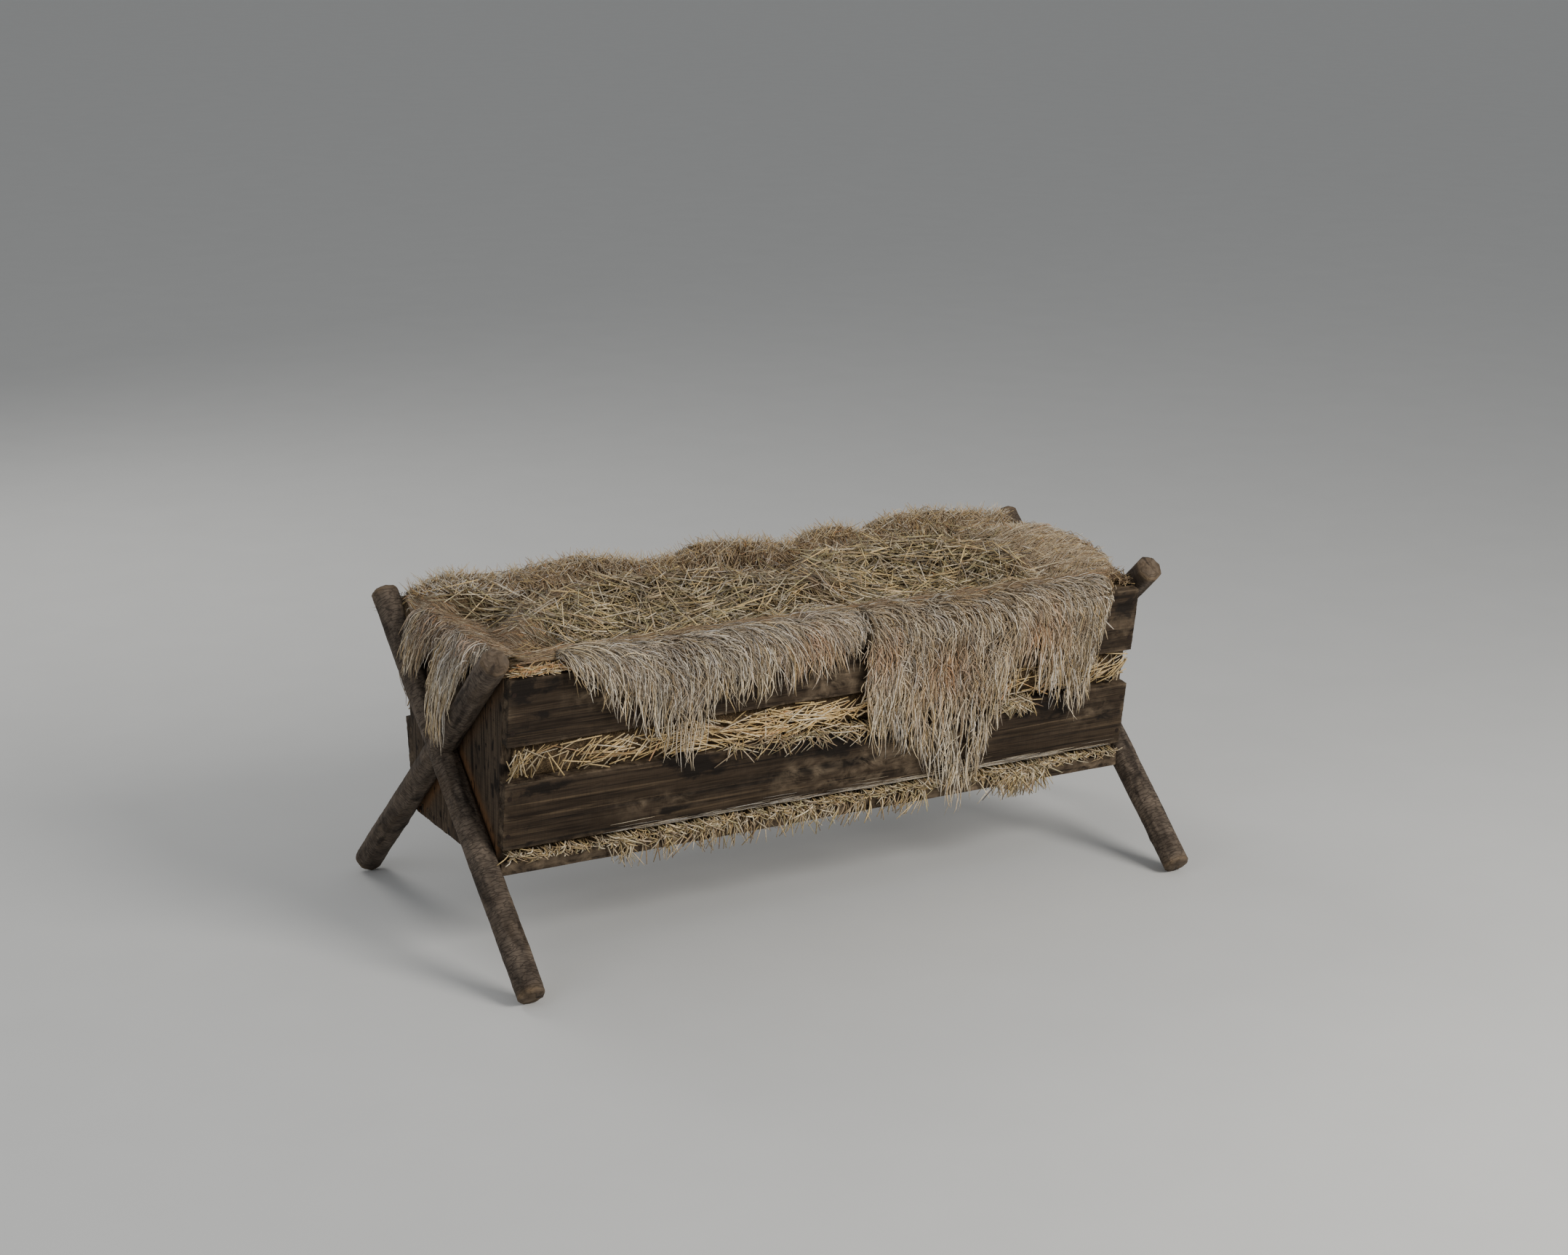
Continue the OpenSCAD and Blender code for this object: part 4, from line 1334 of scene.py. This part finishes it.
def make_spills():
    """Straws that fill the gap above the floor, hang out of it and droop over the lower plank."""
    rng = np.random.default_rng(909)
    for part, droops in (("front", FRONT_DROOPS), ("back", BACK_DROOPS)):
        filling = 1100
        x = rng.uniform(-590, 590, filling) * MM
        fall = rng.uniform(-17, 3, filling) * MM
        paths = [spilling(rng, x, BOARD_T + 1 * MM, 21, fall, rng.normal(6, 16, filling) * MM)]
        for tufts, spans, top_s, fall, parting in (
            (225, GAP_FRINGE, BOARD_T + 1 * MM, (2, 47), 13),
            (90, droops, SLOT_S[0], (-6, 30), 26),
        ):
            x = scattered(rng, tufts, 3, spans, 61)
            splay = np.repeat(rng.normal(0, 18, len(x) // 3), 3) * MM + rng.normal(0, parting * MM, len(x))
            paths.append(spilling(rng, x, top_s, 13, rng.uniform(*fall, len(x)) * MM, splay))
        paths = np.concatenate(paths)
        count = len(paths)
        if part == "back":
            paths[..., 1] *= -1
        thick = rng.uniform(0.75, 1.35, count)
        tints = tints_of(rng, count, golden=4, pale=4, tan=3, green=2, brown=1)
        tints *= rng.uniform(0.5, 1.35, (count, 1))
        tones = (0.6, 0.8, 1, 1, 1.05, 1.1)
        taper = (1, 1, 1, 0.95, 0.85, 0.6)
        stalks(f"{part}_spills", paths, thick, taper, tints, tones, STIFF, f"{part}_gap_hay")


def make_edge_wisps():
    """Pale wisps caught along the lower edge of the front's lower plank."""
    rng = np.random.default_rng(1010)
    steps = 5
    x = scattered(rng, 100, 3, ((-430, 500),), 67)
    count = len(x)
    s = LOWER_S + (0.5 + rng.exponential(3, count)) * MM
    t = np.linspace(0, 1, steps)
    run = rng.uniform(25, 80, count) * MM
    rise = rng.normal(0, 1.6 * MM, count)
    out = np.abs((rng.uniform(0.3, 2.2, count) * MM)[:, None] + rng.normal(0, 0.3 * MM, (count, steps)))
    paths = on_side(x[:, None] + run[:, None] * t, out + 0.5 * MM, s[:, None] + rise[:, None] * t)
    tints = tints_of(rng, count, white=2, pale=4, grey=4, tan=2) * rng.uniform(0.3, 1.1, (count, 1))
    thick = rng.uniform(0.25, 0.5, count)
    stalks("edge_wisps", paths, thick, (0.5, 1, 1, 0.9, 0.4), tints, (0.9, 1, 1, 1, 1.05), FINE)


def swell(value, centre, half):
    """A half circle's outline, 1 at the centre and 0 from half away."""
    return np.clip(1 - ((value - centre) / half) ** 2, 0, 1) ** 0.5


def make_cores():
    """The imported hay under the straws: the heap's crown, and the block inside the trough."""
    xs = divided(HALF_LEN + 11 * MM, 40 * MM, 9 * MM)
    ys = divided(1.0, 0.16, 0.035)
    points, quads = box_shell(xs, ys, np.array([0.0, 1.0]))
    x, share, top = points.T
    y = share * heap_half_width(x, share)
    height = np.maximum(heap_height(x, y) - 4 * MM, RIM_Z + 0.5 * MM)
    core = quad_mesh("heap_core", np.stack([x, y, np.where(top > 0.5, height, RIM_Z + 0.2 * MM)], -1), quads)
    piece(core, PACKED, "hay_heap")

    lo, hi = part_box("hay_bed")
    points, quads = box_shell(
        np.linspace(lo.x, hi.x, 190), np.linspace(-1, 1, 30), np.linspace(lo.z, hi.z, 90)
    )
    x, share, z = points.T
    s = (z - FLOOR_Z) / math.cos(LEAN)
    half = inner_half_width(z) - 1 * MM
    bulge = 12 * MM * swell(s, sum(SLOT_S) / 2, (SLOT_S[1] - SLOT_S[0]) / 2.1)
    bulge += 10 * MM * swell(s, GAP_MIDDLE_S, 10 * MM)
    bulge *= np.clip((HALF_LEN - 20 * MM - np.abs(x)) / (20 * MM), 0, 1)
    lumps = 2.5 * MM * (1 + layered_noise(points * [1 / (24 * MM), 0, 1 / (18 * MM)], 5, 2))
    width = half + (bulge - lumps) * (np.abs(share) > 0.99)
    piece(quad_mesh("bed_core", np.stack([x, share * width, z], -1), quads), PACKED, "hay_bed")


# ---------- stage, light and camera ----------

FLOOR_REACH = 80
LENS_MM = 65.16
CAMERA_PLACE = (-2.2954, -4.1007, 1.7776)
CAMERA_YAW = math.radians(29.43)
CAMERA_PITCH = math.radians(15.83)
CAMERA_ROLL = math.radians(0.53)


def make_stage():
    corners = FLOOR_REACH * np.array([[-1, -1, 0], [1, -1, 0], [1, 1, 0], [-1, 1, 0]], float)
    floor = quad_mesh("floor", corners, np.array([[0, 1, 2, 3]]))
    n = Nodes("pale_floor")
    grain = n.noise(n.stretched(), 6, 3)
    colour = n.mix(grain, linear(206, 206, 204), linear(212, 212, 210))
    floor.data.materials.append(n.finish(colour, 0.9))


def area_light(name, location, target, size, power, colour):
    light = bpy.data.lights.new(name, "AREA")
    light.shape = "DISK"
    light.size = size
    light.energy = power
    light.color = colour
    obj = bpy.data.objects.new(name, light)
    obj.location = location
    obj.rotation_mode = "QUATERNION"
    aim = Vector(target) - Vector(location)
    obj.rotation_quaternion = aim.to_track_quat("-Z", "Y")
    bpy.context.scene.collection.objects.link(obj)


def make_lights():
    world = bpy.data.worlds.new("soft_studio")
    world.use_nodes = True
    background = world.node_tree.nodes["Background"]
    background.inputs["Color"].default_value = (0.84, 0.86, 0.88, 1)
    background.inputs["Strength"].default_value = 0.38
    bpy.context.scene.world = world
    area_light("key", (1.5, -3.4, 2.5), (0, 0, 0.3), 2.0, 150, (1.0, 0.97, 0.92))
    area_light("fill", (-3.2, -1.2, 1.8), (0, 0, 0.3), 2.5, 20, (0.92, 0.95, 1.0))
    area_light("rim", (-1.0, 3.2, 2.6), (0, 0, 0.4), 1.8, 40, (1.0, 0.98, 0.95))


def make_camera():
    """The camera stands in front and to the left, a little above the rim, and looks slightly down."""
    yaw, pitch, roll = CAMERA_YAW, CAMERA_PITCH, CAMERA_ROLL
    ahead = Vector((math.sin(yaw) * math.cos(pitch), math.cos(yaw) * math.cos(pitch), -math.sin(pitch)))
    right = Vector((math.cos(yaw), -math.sin(yaw), 0))
    up = right.cross(ahead)
    tilted_right = right * math.cos(roll) + up * math.sin(roll)
    tilted_up = up * math.cos(roll) - right * math.sin(roll)
    camera = bpy.data.objects.new("camera", bpy.data.cameras.new("camera"))
    camera.data.sensor_width = 36
    camera.data.lens = LENS_MM
    rotation = Matrix((tilted_right, tilted_up, -ahead)).transposed()
    camera.matrix_world = Matrix.Translation(CAMERA_PLACE) @ rotation.to_4x4()
    bpy.context.scene.collection.objects.link(camera)
    bpy.context.scene.camera = camera


for make in (
    make_boards, make_poles, make_nails,
    make_cores, make_dish_straw, make_rolled_bands, make_crest_fibres, make_back_fuzz, make_right_sweep,
    make_coats, make_rim_straw, make_slot_straw, make_spills, make_edge_wisps,
    make_stage, make_lights, make_camera,
):
    make()
